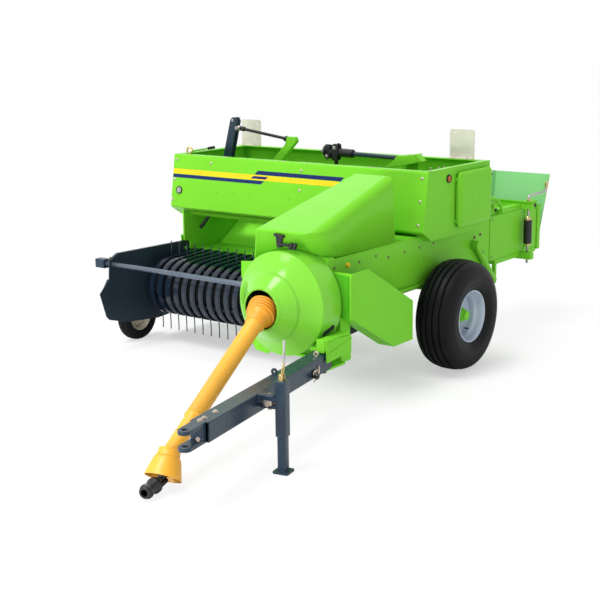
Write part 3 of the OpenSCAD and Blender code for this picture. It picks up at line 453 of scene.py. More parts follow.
def add_hood():
    right, left = CHAMBER_RIGHT, CHAMBER_LEFT
    back = PLATE_Y - 1
    rise = (HOOD_NOSE - CHAMBER_TOP) / (HOOD_TOP - CHAMBER_TOP)
    corners = {
        "front_low_right": (right - 20, HOOD_FRONT + 4, HOOD_LIP),
        "lip_right": (right, back, HOOD_LIP),
        "seam_right": (right, back, CHAMBER_TOP + 8),
        "seam_left": (left, back, CHAMBER_TOP + 8),
        "nose_right": (right, HOOD_FRONT, HOOD_NOSE),
        "nose_left": (left, HOOD_FRONT, HOOD_NOSE),
        "top_right": (right + HOOD_SLANT, HOOD_REAR_TOP, HOOD_TOP),
        "top_left": (left, HOOD_REAR_TOP, HOOD_TOP),
        "rear_right": (right, HOOD_REAR_LOW + (HOOD_REAR_TOP - HOOD_REAR_LOW) * rise, HOOD_NOSE),
        "rear_low_right": (right, HOOD_REAR_LOW, CHAMBER_TOP),
        "rear_low_left": (left, HOOD_REAR_LOW, CHAMBER_TOP),
    }
    front_edge = []
    back_edge = []
    for i, (x, z, set_back) in enumerate(HOOD_ARCH):
        corners[f"front_arch_{i}"] = (x, HOOD_FRONT + set_back, z)
        corners[f"back_arch_{i}"] = (x, back, z)
        front_edge.append(f"front_arch_{i}")
        back_edge.append(f"back_arch_{i}")
    front_edge.append("front_low_right")
    back_edge.append("lip_right")
    sides = [
        ("seam_left", *front_edge, "nose_right", "nose_left"),
        ("nose_right", "nose_left", "top_left", "top_right"),
        ("nose_right", "top_right", "rear_right"),
        ("front_low_right", "nose_right", "rear_right", "rear_low_right", "seam_right", "lip_right"),
        ("seam_left", "rear_low_left", "top_left", "nose_left"),
        ("rear_low_right", "rear_right", "top_right", "top_left", "rear_low_left"),
        ("seam_left", *back_edge, "seam_right"),
        ("seam_left", front_edge[0], back_edge[0]),
        ("seam_right", "rear_low_right", "rear_low_left", "seam_left"),
    ]
    for i in range(len(HOOD_ARCH)):
        sides.append((front_edge[i], front_edge[i + 1], back_edge[i + 1], back_edge[i]))
    bm = bmesh.new()
    verts = {k: bm.verts.new(p) for k, p in corners.items()}
    for side in sides:
        bm.faces.new([verts[k] for k in side])
    share = bm.edges.layers.float.new("bevel_weight_edge")
    for a, b, weight in HOOD_FOLDS:
        bm.edges.get((verts[a], verts[b]))[share] = weight
    obj = make("hood_cover", bm, LIME, bevel=100, segments=8, replaces="hood")
    obj.modifiers["soft_edges"].limit_method = "WEIGHT"


add_hood()

# Flywheel guard as (radius, distance in front of the front plate)
SHAFT_HEIGHT = 628
DRUM_AT = (MIDDLE, PLATE_Y, SHAFT_HEIGHT)
DRUM_AXIS = (0, -1, 0)
GUARD_SHEET = 3
GUARD_OUTER = [
    (303, 0), (303, 164), (302.6, 167), (301.4, 170), (299.4, 172.4), (296.6, 174), (292, 176.6), (268, 192),
    (246, 209), (224, 227), (206, 244), (200, 250), (197.4, 254), (196.4, 258), (195.6, 263), (193.6, 267),
    (188, 274), (164, 300), (142, 325), (126, 344), (124.6, 347.4), (121.6, 349.4), (118, 349.4),
    (115.6, 347),
]
# Near-black sheet inside the cover's neck: painted shade for the dark inside of the mouth
NECK_PAINTED_SHADE = [(r - GUARD_SHEET, d - 1) for r, d in GUARD_OUTER[11:20]]
piece("flywheel_cover", LIME_GLOSS, (lathe, shell(GUARD_OUTER, GUARD_SHEET), DRUM_AT, DRUM_AXIS, 128),
      smooth=60,
      replaces="flywheel_guard")
# Painted shade: near-black sheet inside the neck
piece("flywheel_cover_painted_shade", DARK_PARTS_AND_PAINTED_SHADE, (lathe, shell(NECK_PAINTED_SHADE, 2), DRUM_AT, DRUM_AXIS, 96), smooth=60)


# Wheels: tyre and rim sections as (radius, distance outwards from the middle)

def tyre_section(radius, width, rim, ribs):
    """Side, shoulder and a crown with ribs between rounded grooves."""
    h = radius - rim
    half = width / 2
    side = [(rim, 0.70), (rim + h * 0.05, 0.78), (rim + h * 0.16, 0.89), (rim + h * 0.30, 0.97),
            (rim + h * 0.44, 1.0), (rim + h * 0.57, 0.99), (rim + h * 0.68, 0.96), (rim + h * 0.77, 0.915),
            (rim + h * 0.84, 0.865)]
    crown_half = half * 0.82
    pitch = 2 * crown_half / ribs
    groove = pitch * 0.16
    depth = h * 0.085
    rise = depth * 0.22
    crown_drop = h * 0.115

    def crown(x):
        return radius - crown_drop * abs(x / crown_half) ** 2.4

    tread = []
    for i in range(ribs):
        a = -crown_half + i * pitch + (groove if i else 0)
        b = -crown_half + (i + 1) * pitch - (groove if i < ribs - 1 else 0)
        tread += [(crown(a) - rise, a), (crown(a), a + pitch * 0.07), (crown((a + b) / 2), (a + b) / 2),
                  (crown(b), b - pitch * 0.07), (crown(b) - rise, b)]
        if i < ribs - 1:
            tread += [(crown(b) - depth * 0.9, b + groove * 0.25), (crown(b) - depth, b + groove * 0.6),
                      (crown(b) - depth, b + groove * 1.4), (crown(b) - depth * 0.9, b + groove * 1.75)]
    left = [(r, -s * half) for r, s in side]
    right = [(r, s * half) for r, s in side[::-1]]
    return left + tread + right


def wheel(side, out, radius, width, rim, ribs, dish, axle, disc_mat=SILVER, hub_mat=LIME):
    """Tyre, rim with a rolled flange and dished disc, and a hub; out is 1 or -1 for the outer side."""
    name = side + "_wheel"
    lo, hi = machine_box(side + "_tyre")
    centre = (lo + hi) / 2
    axis = (out, 0, 0)
    half = width / 2
    beads = []
    for up, wide in ((0.56, 0.99), (0.30, 0.965)):
        r = rim + (radius - rim) * up
        for s in (-1, 1):
            at = s * half * wide
            bead = [(r - 3, at - s * 2), (r, at + s * 1.6), (r + 3, at - s * 2)]
            beads.append((lathe, bead, centre, axis, 96))
    piece(name + "_tyre", RUBBER, (lathe, tyre_section(radius, width, rim, ribs), centre, axis, 144), *beads,
          body=name, smooth=42, replaces=side + "_tyre")
    t = radius * 0.016
    lip = half * 0.80
    face = [
        (rim + radius * 0.035, lip), (rim + radius * 0.028, lip + t * 0.6),
        (rim + radius * 0.012, lip + t * 0.4),
        (rim, lip - t * 1.4), (rim - t * 1.1, lip - t * 3), (rim - t * 1.4, half * 0.50),
        (rim - t * 3.2, half * 0.40), (rim - t * 4.4, half * 0.30), (rim - t * 4.6, dish + t * 3),
        (rim - t * 5.4, dish + t), (rim * 0.66, dish), (rim * 0.58, dish + t * 0.6),
        (rim * 0.40, dish + t * 0.6),
        (axle + 8, dish + t * 0.4),
    ]
    back = [
        (axle + 8, dish - t * 0.8), (rim * 0.6, dish - t * 0.8), (rim - t * 6, dish - t * 0.6),
        (rim - t * 5.8, -half * 0.35), (rim - t * 2.4, -half * 0.45), (rim - t * 2.2, -lip + t * 3),
        (rim - t * 0.2, -lip + t), (rim + radius * 0.03, -lip - t * 0.4), (rim + radius * 0.035, -lip),
        (rim + t * 0.1, -lip + t * 2.2), (rim - t, 0), (rim + t * 0.1, lip - t * 2.2),
    ]
    piece(name + "_rim", disc_mat, (lathe, face + back, centre, axis, 112), body=name, slot="rim_silver",
          smooth=40, replaces=side + "_rim")
    hub = rim * 0.36
    boss = [
        (axle, -half * 0.5), (hub, -half * 0.5), (hub, dish + t * 2.2), (hub - 3, dish + t * 3),
        (hub * 0.74, dish + t * 3.2), (hub * 0.70, dish + t * 7.5), (hub * 0.62, dish + t * 8.6),
        (0, dish + t * 9), (0, dish + t * 4), (axle, dish + t * 4),
    ]
    bolts = []
    for y, z in circle(0, 0, hub * 0.86, 20)[1::4]:
        bolts.append((bolt, centre + Vector((out * (dish + t * 2.6), y, z)), axis, radius * 0.022))
    piece(name + "_hub", hub_mat, (lathe, boss, centre, axis, 56), *bolts, body=name, slot="lime_paint")
    reach = rim - t * 8
    stem = centre + Vector((out * (dish + t * 3), reach * 0.45, -reach * 0.893))
    piece(name + "_valve", BLACK, (rod, stem, stem + ACROSS * (out * radius * 0.10), radius * 0.014),
          body=name)


wheel("left", 1, radius=355, width=264, rim=156, ribs=5, dish=6, axle=30.5)
wheel("right", -1, radius=300, width=165, rim=150, ribs=4, dish=20, axle=30.5)
wheel("gauge", -1, radius=165, width=90, rim=90, ribs=3, dish=6, axle=15.5, disc_mat=PALE_HUB,
      hub_mat=PALE_HUB)

# Drive shaft, along its own line; sections as (radius, distance along)
SHAFT_AT = Vector((MIDDLE, -1480, SHAFT_HEIGHT))
SHAFT_YAW = math.radians(13.8)
SHAFT_LINE = heading(SHAFT_YAW, math.radians(23.35))
SHAFT_SIDE = Vector((math.cos(SHAFT_YAW), math.sin(SHAFT_YAW), 0))
CONE_RIBS = 4
CONE_NECK = [(74, 78), (66, 90), (61, 104), (59, 132), (56, 150), (52, 154)]
GUARD_TUBE = [(30, 90), (49, 90), (49, 156), (47, 160), (47, 925), (49, 928), (49, 936), (43, 938), (41, 942),
              (41, 1218), (30, 1218)]
# The front bell hangs down over its joint, and the yoke lies level
BELL_AT = SHAFT_AT + SHAFT_LINE * 1214
BELL_LINE = heading(SHAFT_YAW, math.radians(56))
BELL = [(50, 4), (60, 7), (66, 13), (69, 20), (73, 34), (80, 60), (87, 86), (90.5, 102), (92.5, 106),
        (93, 111)]
BELL_COLLAR = [(46, -34), (55, -32), (56, -24), (54, -12), (58, -6), (58, 6), (50, 12), (44, 12)]
YOKE_AT = Vector((-101, -2640, 50))
YOKE_LINE = (heading(SHAFT_YAW) - UP * 0.04).normalized()
YOKE = [(18, 50), (36, 50), (40, 56), (40, 74), (34, 82), (31, 120), (31, 128), (37, 131), (37, 139),
        (31, 142),
        (30, 156), (27, 159), (18, 159)]


def add_shaft():
    cone = []
    for i in range(CONE_RIBS):
        r = 93 - i * 3
        s = -2 + i * 19
        cone += [(r - 4, s), (r, s + 3), (r, s + 10), (r - 4, s + 13), (r - 11, s + 14.5), (r - 11, s + 17.5)]
    guard = {"body": "drive_shaft", "smooth": 50}
    piece("shaft_ribbed_cone", ORANGE, (lathe, shell(cone + CONE_NECK, 5), SHAFT_AT, SHAFT_LINE, 80),
          replaces="shaft_cone", **guard)
    piece("shaft_guard_tube", YELLOW, (lathe, GUARD_TUBE, SHAFT_AT, SHAFT_LINE, 64), replaces="shaft_tube",
          **guard)
    piece("shaft_bell", YELLOW, (lathe, shell(BELL, 4), BELL_AT, BELL_LINE, 80),
          (lathe, BELL_COLLAR, BELL_AT, BELL_LINE, 56), replaces="shaft_front_cone", **guard)
    ears = []
    for s in (1, -1):
        ears.append((rod, YOKE_AT - YOKE_LINE * 10 + SHAFT_SIDE * 22 * s,
                     YOKE_AT + YOKE_LINE * 46 + SHAFT_SIDE * 27 * s, 12))
    piece("shaft_tractor_yoke", BLACK, *ears, (lathe, YOKE, YOKE_AT, YOKE_LINE, 40),
          (rod, YOKE_AT - YOKE_LINE * 60 + UP * 34, YOKE_AT + YOKE_LINE * 10, 20),
          (rod, BELL_AT + BELL_LINE * 10, YOKE_AT, 22), body="drive_shaft", smooth=45, replaces="shaft_yoke")


add_shaft()

# Feeder box, in side view as (Y, Z)
BOX_RIGHT = -2242
BOX_LEFT = -107
BOX_REAR = 590
RIM = (-200, 1280)
FOLD = (-258, 906)
FOOT = (-155, 840)
RIM_FLANGE = 52
WALL = 12
SHEET = 10
SIDE_OUTLINE = [*[(y + 4, z) for y, z in (RIM, FOLD, FOOT)], (BOX_REAR, FOOT[1]), (BOX_REAR, RIM[1])]
PANEL_DOWN = Vector((0, FOLD[0] - RIM[0], FOLD[1] - RIM[1])).normalized()
PANEL_OUT = Vector((0, PANEL_DOWN.z, -PANEL_DOWN.y))


def on_panel(x, down, out):
    """Place on the front panel: X, distance down from the rim, height above the sheet."""
    return Vector((x, *RIM)) + PANEL_DOWN * down + PANEL_OUT * out


def add_box_front():
    share = (FOLD[1] - CHAMBER_TOP) / (FOLD[1] - FOOT[1])
    over = (FOLD[0] + (FOOT[0] - FOLD[0]) * share, CHAMBER_TOP)
    panel = [(RIM[0] + RIM_FLANGE, RIM[1]), RIM, FOLD, over]
    piece("box_front_panel", LIME, (folded, panel, [0, 16, 12, 0], -SHEET, BOX_RIGHT, BOX_LEFT),
          (folded, [over, FOOT], 0, -SHEET, BOX_RIGHT, CHAMBER_RIGHT),
          (folded, [over, FOOT], 0, -SHEET, CHAMBER_LEFT, BOX_LEFT), bevel=4, segments=3,
          replaces="box_front")
    edge = strip([RIM, FOLD, FOOT], -2, -30)
    piece("box_front_returns", LIME, (prism, edge, BOX_RIGHT - 0.5, BOX_RIGHT + 4.5),
          (prism, edge, BOX_LEFT - 4.5, BOX_LEFT + 0.5), bevel=1.2)


# Bolts as (X, distance down the panel); dimples are pressed in the sheet
FRONT_BOLTS = [(-2215, 38), (-1885, 48), (-2222, 180), (-2228, 325), (-1088, 52), (-1089, 184), (-147, 43),
               (-147, 186), (-147, 335)]
FRONT_DIMPLES = [(-1813, 240), (-1662, 241), (-1515, 240), (-1178, 243)]
DIMPLE = [(0, -1), (14, -1), (13, 1), (9, 3.2), (5, 1.4), (0, 0.8)]
RIM_BOLTS = [-1781, -1263, -1083, -560, -527, -479]
RIM_STUDS = [(-347, 223), (-321, 286), (-304, 325)]
# Stripes: name, paint, top and foot down the panel, X of the right end at top and foot, and of the left end,
# and how far the stripe lies above the sheet
STRIPE_END = BOX_RIGHT + 4
STRIPES = [
    ("stripe_upper", DECAL_NAVY, 74, 101, (-1455, -1485), (-734, -759), 0.0),
    ("stripe_gold", DECAL_GOLD, 104, 139, (STRIPE_END, STRIPE_END), (-767, -812), 0.0),
    ("stripe_short", DECAL_NAVY, 112, 130, (-1491, -1515), (-1362, -1382), 0.5),
    ("stripe_lower", DECAL_NAVY, 142, 166, (STRIPE_END, STRIPE_END), (-1394, -1423), 0.0),
]


def reflector(name, at, out, lens):
    """Round reflector in a dark rim."""
    r = 22
    rim = [(r - 2, 0), (r + 5, 0), (r + 5, 7), (r + 3, 9), (r, 9), (r - 2, 6)]
    piece(name + "_rim", BLACK, (lathe, rim, at, out, 40))
    piece(name + "_lens", lens, (lathe, [(0, 0), (r - 1, 0), (r - 1, 6), (r * 0.7, 8.2), (0, 9.4)], at, out,
                                 40))


def add_box_trim():
    for name, paint, top, foot, right, left, lift in STRIPES:
        outline = [(right[0], top), (left[0], top), (left[1], foot), (right[1], foot)]
        piece(name, paint, (prism, outline, lift - 0.5, lift + 0.6, on_panel))
    bolts = [(dome, on_panel(x, down, 0), PANEL_OUT, 10) for x, down in FRONT_BOLTS]
    bolts += [(dome, (x, RIM[0] + 26, RIM[1]), UP, 8) for x in RIM_BOLTS]
    bolts += [(rod, (x, y, 1205), (x, y, 1252), 6) for x, y in RIM_STUDS]
    piece("box_bolts", BOLT, *bolts)
    dimples = [(lathe, DIMPLE, on_panel(x, down, 0), PANEL_OUT, 24) for x, down in FRONT_DIMPLES]
    piece("box_dimples", LIME, *dimples, smooth=60)
    reflector("front_reflector", on_panel(-2169, 256, 0), PANEL_OUT, LENS)
    reflector("side_reflector", (BOX_LEFT - 1, 48, 1213), ACROSS, AMBER)


# Door in the box's left side
DOOR_LOW = 884
DOOR_HIGH = 1244
DOOR_FRONT = 158
DOOR_BACK = 570
DOOR_PIN = (-96.5, 140)
DOOR_OPENING = [(550, 1064), (550, 904), (280, 904), (280, 1224), (550, 1224), (550, 1064.5)]
# Pressed face of the door: X and how far each outline is drawn in
DOOR_FACE = [(-88, 0), (-85.5, 0), (-83, 1), (-79, 6), (-74.5, 14), (-71.5, 23), (-70.2, 32), (-70, 40)]
DOOR_KNOB = [(0, 0), (7, 0), (8, 8), (15, 14), (17, 22), (13, 30), (0, 33)]


def add_box_sides():
    gap = 1.5
    # The left wall runs round the door's opening and meets itself behind the door
    *front_and_foot, rear_rim = SIDE_OUTLINE
    left_wall = [*front_and_foot, (BOX_REAR, 1064), *DOOR_OPENING, (BOX_REAR, 1064.5), rear_rim]
    piece("box_left_wall", LIME, (prism, left_wall, BOX_LEFT - WALL, BOX_LEFT - gap),
          replaces="box_left_side")
    knuckles = []
    for z in (914, 1184):
        knuckles.append((rod, (*DOOR_PIN, z), (*DOOR_PIN, z + 30), 6.5))
        knuckles.append((block, (BOX_LEFT - 2, DOOR_PIN[1] - 4, z + 2),
                         (DOOR_PIN[0], DOOR_PIN[1] + 4, z + 28)))
    piece("door_hinge_pins", LIME, *knuckles, (rod, (*DOOR_PIN, 914), (*DOOR_PIN, 1214), 4.5))
    right_wall = rounded(SIDE_OUTLINE, [0, 10, 8, 10, 30])
    piece("box_right_wall", LIME, (prism, right_wall, BOX_RIGHT + gap, BOX_RIGHT + WALL), bevel=3,
          replaces="box_right_side")
    flanges = []
    for x in (BOX_LEFT - WALL - 36, BOX_RIGHT + 4):
        flanges.append((block, (x, RIM[0] + 40, RIM[1] - 8), (x + WALL + 32, BOX_REAR - 20, RIM[1] - 1)))
    piece("box_side_flanges", LIME, *flanges, bevel=3)


def add_door():
    front = DOOR_PIN[1] - 7
    loops = []
    for x, inset in DOOR_FACE:
        outline = rect(front + inset, DOOR_LOW + inset, DOOR_BACK - inset, DOOR_HIGH - inset)
        loops.append([(x, y, z) for y, z in rounded(outline, max(34 - inset * 0.4, 12), 8)])
    inner = rounded(rect(DOOR_FRONT, DOOR_LOW + 3, DOOR_BACK - 3, DOOR_HIGH - 3), 28, 8)
    piece("door_panel", LIME, (skin, loops), (prism, inner, -106.5, -87), body="side_door", smooth=50,
          replaces="side_door")
    sleeve = [(5.1, 954), (6.5, 954), (6.5, 1174), (5.1, 1174)]
    piece("door_hinge_sleeve", LIME, (lathe, sleeve, (*DOOR_PIN, 0), UP, 24),
          (block, (-99, DOOR_PIN[1] + 5, 956), (-93, DOOR_FRONT + 14, 1172)), body="side_door")
    piece("door_latches", BLACK, (block, (BOX_LEFT - 2, 576, 1172), (BOX_LEFT + 10, 588, 1212)),
          (rod, (BOX_LEFT + 4, 582, 1190), (BOX_LEFT + 26, 582, 1190), 7),
          (lathe, DOOR_KNOB, (-120, BOX_REAR - 2, 1052), (0, 1, 0), 24), bevel=1.5)


def add_lamp_plates():
    """Lamp plates on the box's rear rim."""
    for name, x0, node in (("lamp_plate_right", -2268, "lamp_plates"), ("lamp_plate_left", -418, None)):
        x1 = x0 + 190
        outline = rounded(rect(x0, 1220, x1, 1475), [2, 2, 16, 16])
        holes = [circle(x0 + 38, 1448, 5), circle(x1 - 38, 1448, 5)]
        piece(name, ZINC, (prism, outline, BOX_REAR, BOX_REAR + 4, "y", holes),
              (block, (x0 + 3, BOX_REAR - 46, 1281), (x1 - 3, BOX_REAR + 1, 1285)), bevel=0.8, replaces=node)
        piece(name + "_bolts", BOLT, *[(bolt, (x, BOX_REAR - 24, 1285), UP, 7) for x in (x0 + 40, x1 - 40)])


add_box_front()
add_box_trim()
add_box_sides()
add_door()
add_lamp_plates()

# Front frame: plate behind the flywheel cover, beam, wing beside the pickup and the drawbar's bracket
FRAME_PLATE = [(-640, 283), (-130, 283), (-130, 545), (-178, 560), (-178, 873), (-640, 873)]
FRAME_WING = [(-590, 470), (-764, 420), (-764, 366), (-757, 335), (-719, 270), (-663, 263), (-632, 257),
              (-590, 283)]
FRAME_EAR = [(-818, 700), (-630, 640), (-630, 822), (-818, 802)]
FRAME_SILL = [(-300, 860), (CHAMBER_LEFT - 1, 860), (CHAMBER_LEFT - 1, 884), (-300, 908)]
GUARD_FRONT = rounded([(-172, 560), (-40, 545), (-40, 795), (-172, 806)], 6)
GUARD_EDGE = rounded([(-1166, 560), (-1146, 545), (-1146, 806), (-1166, 792)], 8)
PIVOT = (-95, -1330)


def add_front_frame():
    ears = []
    for x, z in ((-66, 283), (-26, 402)):
        ear = rounded([(-165, -1153), (-165, -1375), (x, -1375), (x, -1153)], [0, 30, 30, 0])
        ears.append((prism, ear, z, z + 15, "z"))
    piece("frame_plates", LIME,
          (prism, FRAME_PLATE, PLATE_Y, PLATE_Y + 12, "y"),
          (prism, FRAME_WING, PLATE_Y - 1, PLATE_Y + 11, "y"),
          (prism, FRAME_EAR, PLATE_Y - 1, PLATE_Y + 7, "y"),
          (prism, FRAME_SILL, PLATE_Y + 1, PLATE_Y + 60, "y"),
          (block, (-640, -1153, 283), (-96, -1053, 383)),
          (block, (CHAMBER_LEFT - 1, -1153, 383), (-100, -1056, CHAMBER_LOW + 2)),
          *ears, bevel=2.5, replaces="front_frame")
    piece("frame_bracket", LIME,
          (block, (-85, -1400, 417), (-26, PLATE_Y, 478)),
          (prism, [(-1402, 352), (-1402, 482), (PLATE_Y, 463), (PLATE_Y, 372)], -23, -15),
          (block, (-87, -1404, 406), (-34, -1396, 482)),
          (prism, [(-1398, 404), (PLATE_Y, 452), (PLATE_Y, 444), (-1398, 396)], -16, -11),
          (prism, [(-1398, 470), (-1330, 472), (-1398, 420)], -16, -11), bevel=2.5)
    piece("drawbar_pivot", IRON, (rod, (*PIVOT, 270), (*PIVOT, 424), 19.5))
    piece("frame_ribs", LIME, (block, (-560, PLATE_Y - 30, 290), (-250, PLATE_Y, 306)),
          (prism, [(-560, 290), (-520, 290), (-520, 360), (-560, 345)], PLATE_Y - 40, PLATE_Y - 32, "y"),
          bevel=1.5)
    # Plate in the darker lime copy on the side guard's front face: painted shade
    piece("side_guard_front_painted_shade", LIME_PAINTED_SHADE, (prism, GUARD_FRONT, -1157, -1152, "y"), bevel=1)
    piece("side_guard_edge", LIME, (prism, GUARD_EDGE, -28, -19), bevel=2)


add_front_frame()

# Latches of the flywheel cover: outline of each plate, and its reach from the hood's front
LATCH_PLATES = [
    ([(-456, 1008), (-388, 1001), (-388, 1017), (-456, 1024)], -14, 10),
    ([(-438, 944), (-412, 944), (-398, 1010), (-446, 1012)], -9, 26),
    ([(-416, 960), (-346, 956), (-346, 970), (-416, 974)], -18, -4),
    ([(-344, 946), (-328, 940), (-318, 976), (-334, 984)], -22, -2),
    ([(-318, 946), (-302, 940), (-292, 976), (-308, 984)], -22, -2),
]
LATCH_SLOPE = math.atan2(492 - SHAFT_HEIGHT, -111 - MIDDLE)


def add_cover_latches():
    solids = []
    for outline, near, far in LATCH_PLATES:
        solids.append((prism, rounded(outline, 4), HOOD_FRONT + near, HOOD_FRONT + far, "y"))
    along = Vector((-math.sin(LATCH_SLOPE) * 0.35, 0.85, math.cos(LATCH_SLOPE) * 0.35)).normalized()
    out = Vector((math.cos(LATCH_SLOPE), 0, math.sin(LATCH_SLOPE)))
    across = along.cross(out)
    foot = Vector((MIDDLE, -1250, SHAFT_HEIGHT)) + out * 304
    solids.append((rod, foot - along * 46, foot + along * 46, 9, 12, 3))
    for k in range(5):
        at = foot + along * (-36 + k * 18)
        solids.append((rod, at - across * 17, at + across * 17, 8, 10, 2))
    piece("cover_latches", BLACK, *solids, bevel=1.5)


add_cover_latches()

# Chamber side: bolts along the seam, oil plug, lower flange, lapped panels and the outlet's end plate
SEAM_BOLTS = [(-1109, 822), (-858, 816), (-684, 824), (-548, 796), (-367, 799), (-191, 800), (-21, 803)]
REAR_BOLTS = [(766, 845), (520, 760), (600, 768), (760, 590), (640, 640)]
OIL_PLUG = [(0, -2), (17, -2), (17, 5), (13, 8), (13, 18), (10, 22), (0, 23)]
OIL_CAP = [(0, -2), (9, -2), (9, 5), (6, 8), (0, 9)]
# End plates as (X from, X to, rear)
END_PLATES = [(CHAMBER_LEFT - 2, CHAMBER_LEFT + 12, 1452), (CHAMBER_LEFT + 8, CHAMBER_LEFT + 14, 1488),
              (CHAMBER_RIGHT - 12, CHAMBER_RIGHT + 2, 1452), (CHAMBER_RIGHT - 14, CHAMBER_RIGHT - 8, 1488)]


def add_chamber_trim():
    bolts = []
    for y, z in SEAM_BOLTS + REAR_BOLTS:
        bolts.append((bolt, (CHAMBER_LEFT, y, z), ACROSS, 9))
        bolts.append((bolt, (CHAMBER_RIGHT, y, z), -ACROSS, 9))
    piece("chamber_bolts", BRONZE, *bolts)
    piece("oil_plug", DECAL_GOLD, (lathe, OIL_PLUG, (CHAMBER_LEFT, -985, 819), ACROSS, 28),
          (lathe, OIL_CAP, (CHAMBER_LEFT, -985, 764), ACROSS, 20))
    flanges = []
    for x in (CHAMBER_LEFT - 2, CHAMBER_RIGHT - 27):
        flanges.append((block, (x, -1140, CHAMBER_LOW - 7), (x + 29, 470, CHAMBER_LOW)))
    piece("chamber_flanges", LIME, *flanges,
          (block, (CHAMBER_LEFT + 21, -500, CHAMBER_LOW - 7), (CHAMBER_LEFT + 27, -60, CHAMBER_LOW + 18)),
          bevel=2)
    panels = []
    for x in (CHAMBER_LEFT - 1, CHAMBER_RIGHT - 5):
        panels.append((prism, rounded(rect(-1150, 562, 268, 866), 4), x, x + 4))
        panels.append((prism, rounded(rect(732, 562, 1186, 868), 6), x, x + 6))
        panels.append((prism, rounded(rect(1254, 562, 1440, 868), 6), x, x + 6))
    panels += [(block, (x0, 1444, 540), (x1, rear, 874)) for x0, x1, rear in END_PLATES]
    piece("chamber_panels", LIME, *panels, bevel=2)


add_chamber_trim()

# Pickup, in side view about the reel's axis
PICK_RIGHT = -2150
PICK_LEFT = -700
REEL = (-480, 385)
PITCH = 76
TINES = 19
TINE_X = -2093
BAND_R = 200
BAND_HALF = 21
TINE_BAR = 120
TINE_LONG = 202
ROWS = [242, 62]
BAND_PATH = [(-146, 597), (-300, 592), *circle(*REEL, BAND_R, 48)[12:37], (-300, 185), (-110, 185)]


def add_bands():
    crown = strip(BAND_PATH, 2, -3)
    shoulder = strip(BAND_PATH, 0, -4)
    lip = strip(BAND_PATH, -1, -14)
    solids = []
    for i in range(TINES - 1):
        x = TINE_X + PITCH * (i + 0.5)
        solids.append((prism, crown, x - BAND_HALF * 0.55, x + BAND_HALF * 0.55))
        for s in (-1, 1):
            edge = x + s * BAND_HALF * 0.78
            rim = x + s * (BAND_HALF - 1.5)
            solids.append((prism, shoulder, edge - BAND_HALF * 0.24, edge + BAND_HALF * 0.24))
            solids.append((prism, lip, rim - 1.5, rim + 1.5))
    piece("pickup_bands", BAND_NAVY, *solids, (block, (PICK_RIGHT, -190, 555), (PICK_LEFT, -145, 593)),
          (block, (PICK_RIGHT, -150, 185), (PICK_LEFT, -110, 210)), body="pickup", replaces="stripper_bands")
    back = [(-112, 206), (-148, 300), (-148, 560)]
    piece("pickup_back_sheet", DARK_PARTS_AND_PAINTED_SHADE, (folded, back, [0, 40, 0], 3, PICK_RIGHT + 2, PICK_LEFT - 2),
          body="pickup")


def tine(at, out, back):
    """Wire of a tine: two turns round its bar, then a blade that leans back."""
    wire = []
    for k in range(25):
        turn = 2 * math.pi * k / 12
        wire.append(at + ACROSS * (-14 + 14 * k / 24) + (out * math.sin(turn) + back * math.cos(turn)) * 18)
    for s in (0.1, 0.25, 0.4, 0.55, 0.7, 0.85, 1.0):
        lean = 18 * (1 - s) - TINE_LONG * (0.62 * s - 0.16 * s * s)
        wire.append(at + out * (TINE_LONG * 0.87 * s) + back * lean)
    return (tube, wire, 4.2, 6)


def add_reel():
    disc = [(22, 0), (140, 0), (140, 8), (22, 8)]
    core = [(80, 0), (102, 0), (102, 1390), (80, 1390)]
    piece("reel_drum", DARK_PARTS_AND_PAINTED_SHADE, (rod, (PICK_RIGHT - 14, *REEL), (PICK_LEFT + 14, *REEL), 22),
          (lathe, disc, (PICK_RIGHT + 20, *REEL), ACROSS, 40),
          (lathe, disc, (PICK_LEFT - 28, *REEL), ACROSS, 40),
          (lathe, core, (PICK_RIGHT + 30, *REEL), ACROSS, 48), body="reel", replaces="reel")
    bars = []
    tines = []
    for row in ROWS:
        a = math.radians(row)
        out = Vector((0, math.cos(a), math.sin(a)))
        back = Vector((0, math.sin(a), -math.cos(a)))
        bar = Vector((0, *REEL)) + out * TINE_BAR
        bars.append((rod, bar + ACROSS * (PICK_RIGHT + 20), bar + ACROSS * (PICK_LEFT - 20), 14))
        tines += [tine(bar + ACROSS * (TINE_X + PITCH * i), out, back) for i in range(TINES)]
    piece("reel_bars", NAVY, *bars, body="reel")
    piece("reel_tines", TINE_STEEL, *tines, body="reel", smooth=60)


# Details of the pickup's end plates, in side view
PLATE_BOSS = [(24, -1), (62, -1), (62, 6), (46, 9), (42, 20), (24, 20)]
PLATE_RIB = [(-975, 625), (-891, 667), (-160, 656), (-160, 644), (-889, 653), (-968, 612)]
PLATE_STAY = [(-1062, 400), (-990, 500), (-978, 494), (-1050, 392)]
PLATE_CORNER = [(-300, 260), (-146, 300), (-146, 600), (-230, 620), (-300, 560)]
PLATE_BOLTS = [(-215, 600), (-960, 640), (-700, 250), (-880, 232), (-640, 632)]


def add_pickup_trim():
    solids = []
    for x, out in ((PICK_RIGHT - 8, -1), (PICK_LEFT + 8, 1)):
        solids.append((lathe, PLATE_BOSS, (x, *REEL), (out, 0, 0), 40))
        for at in circle(*REEL, 53, 8)[1::2]:
            solids.append((bolt, (x + out * 6, *at), (out, 0, 0), 6))
        solids.append((prism, PLATE_RIB, x, x + out * 14))
        solids.append((prism, PLATE_STAY, x, x + out * 9))
    piece("pickup_plate_bosses", NAVY, *solids, (prism, PLATE_CORNER, PICK_RIGHT - 1, PICK_RIGHT + 5),
          body="pickup", bevel=1.5)
    bolts = [(bolt, (PICK_RIGHT - 8, *at), -ACROSS, 9) for at in PLATE_BOLTS]
    piece("pickup_bolts", BOLT, *bolts, body="pickup")
    bracket = rounded(rect(-976, 567, -914, 629), 8)
    piece("windguard_bracket", STEEL_NAVY, (prism, bracket, -2290, -2210, "x", [circle(-945, 598, 16.5, 28)]),
          body="pickup", bevel=1.5)


add_bands()
add_reel()
add_pickup_trim()

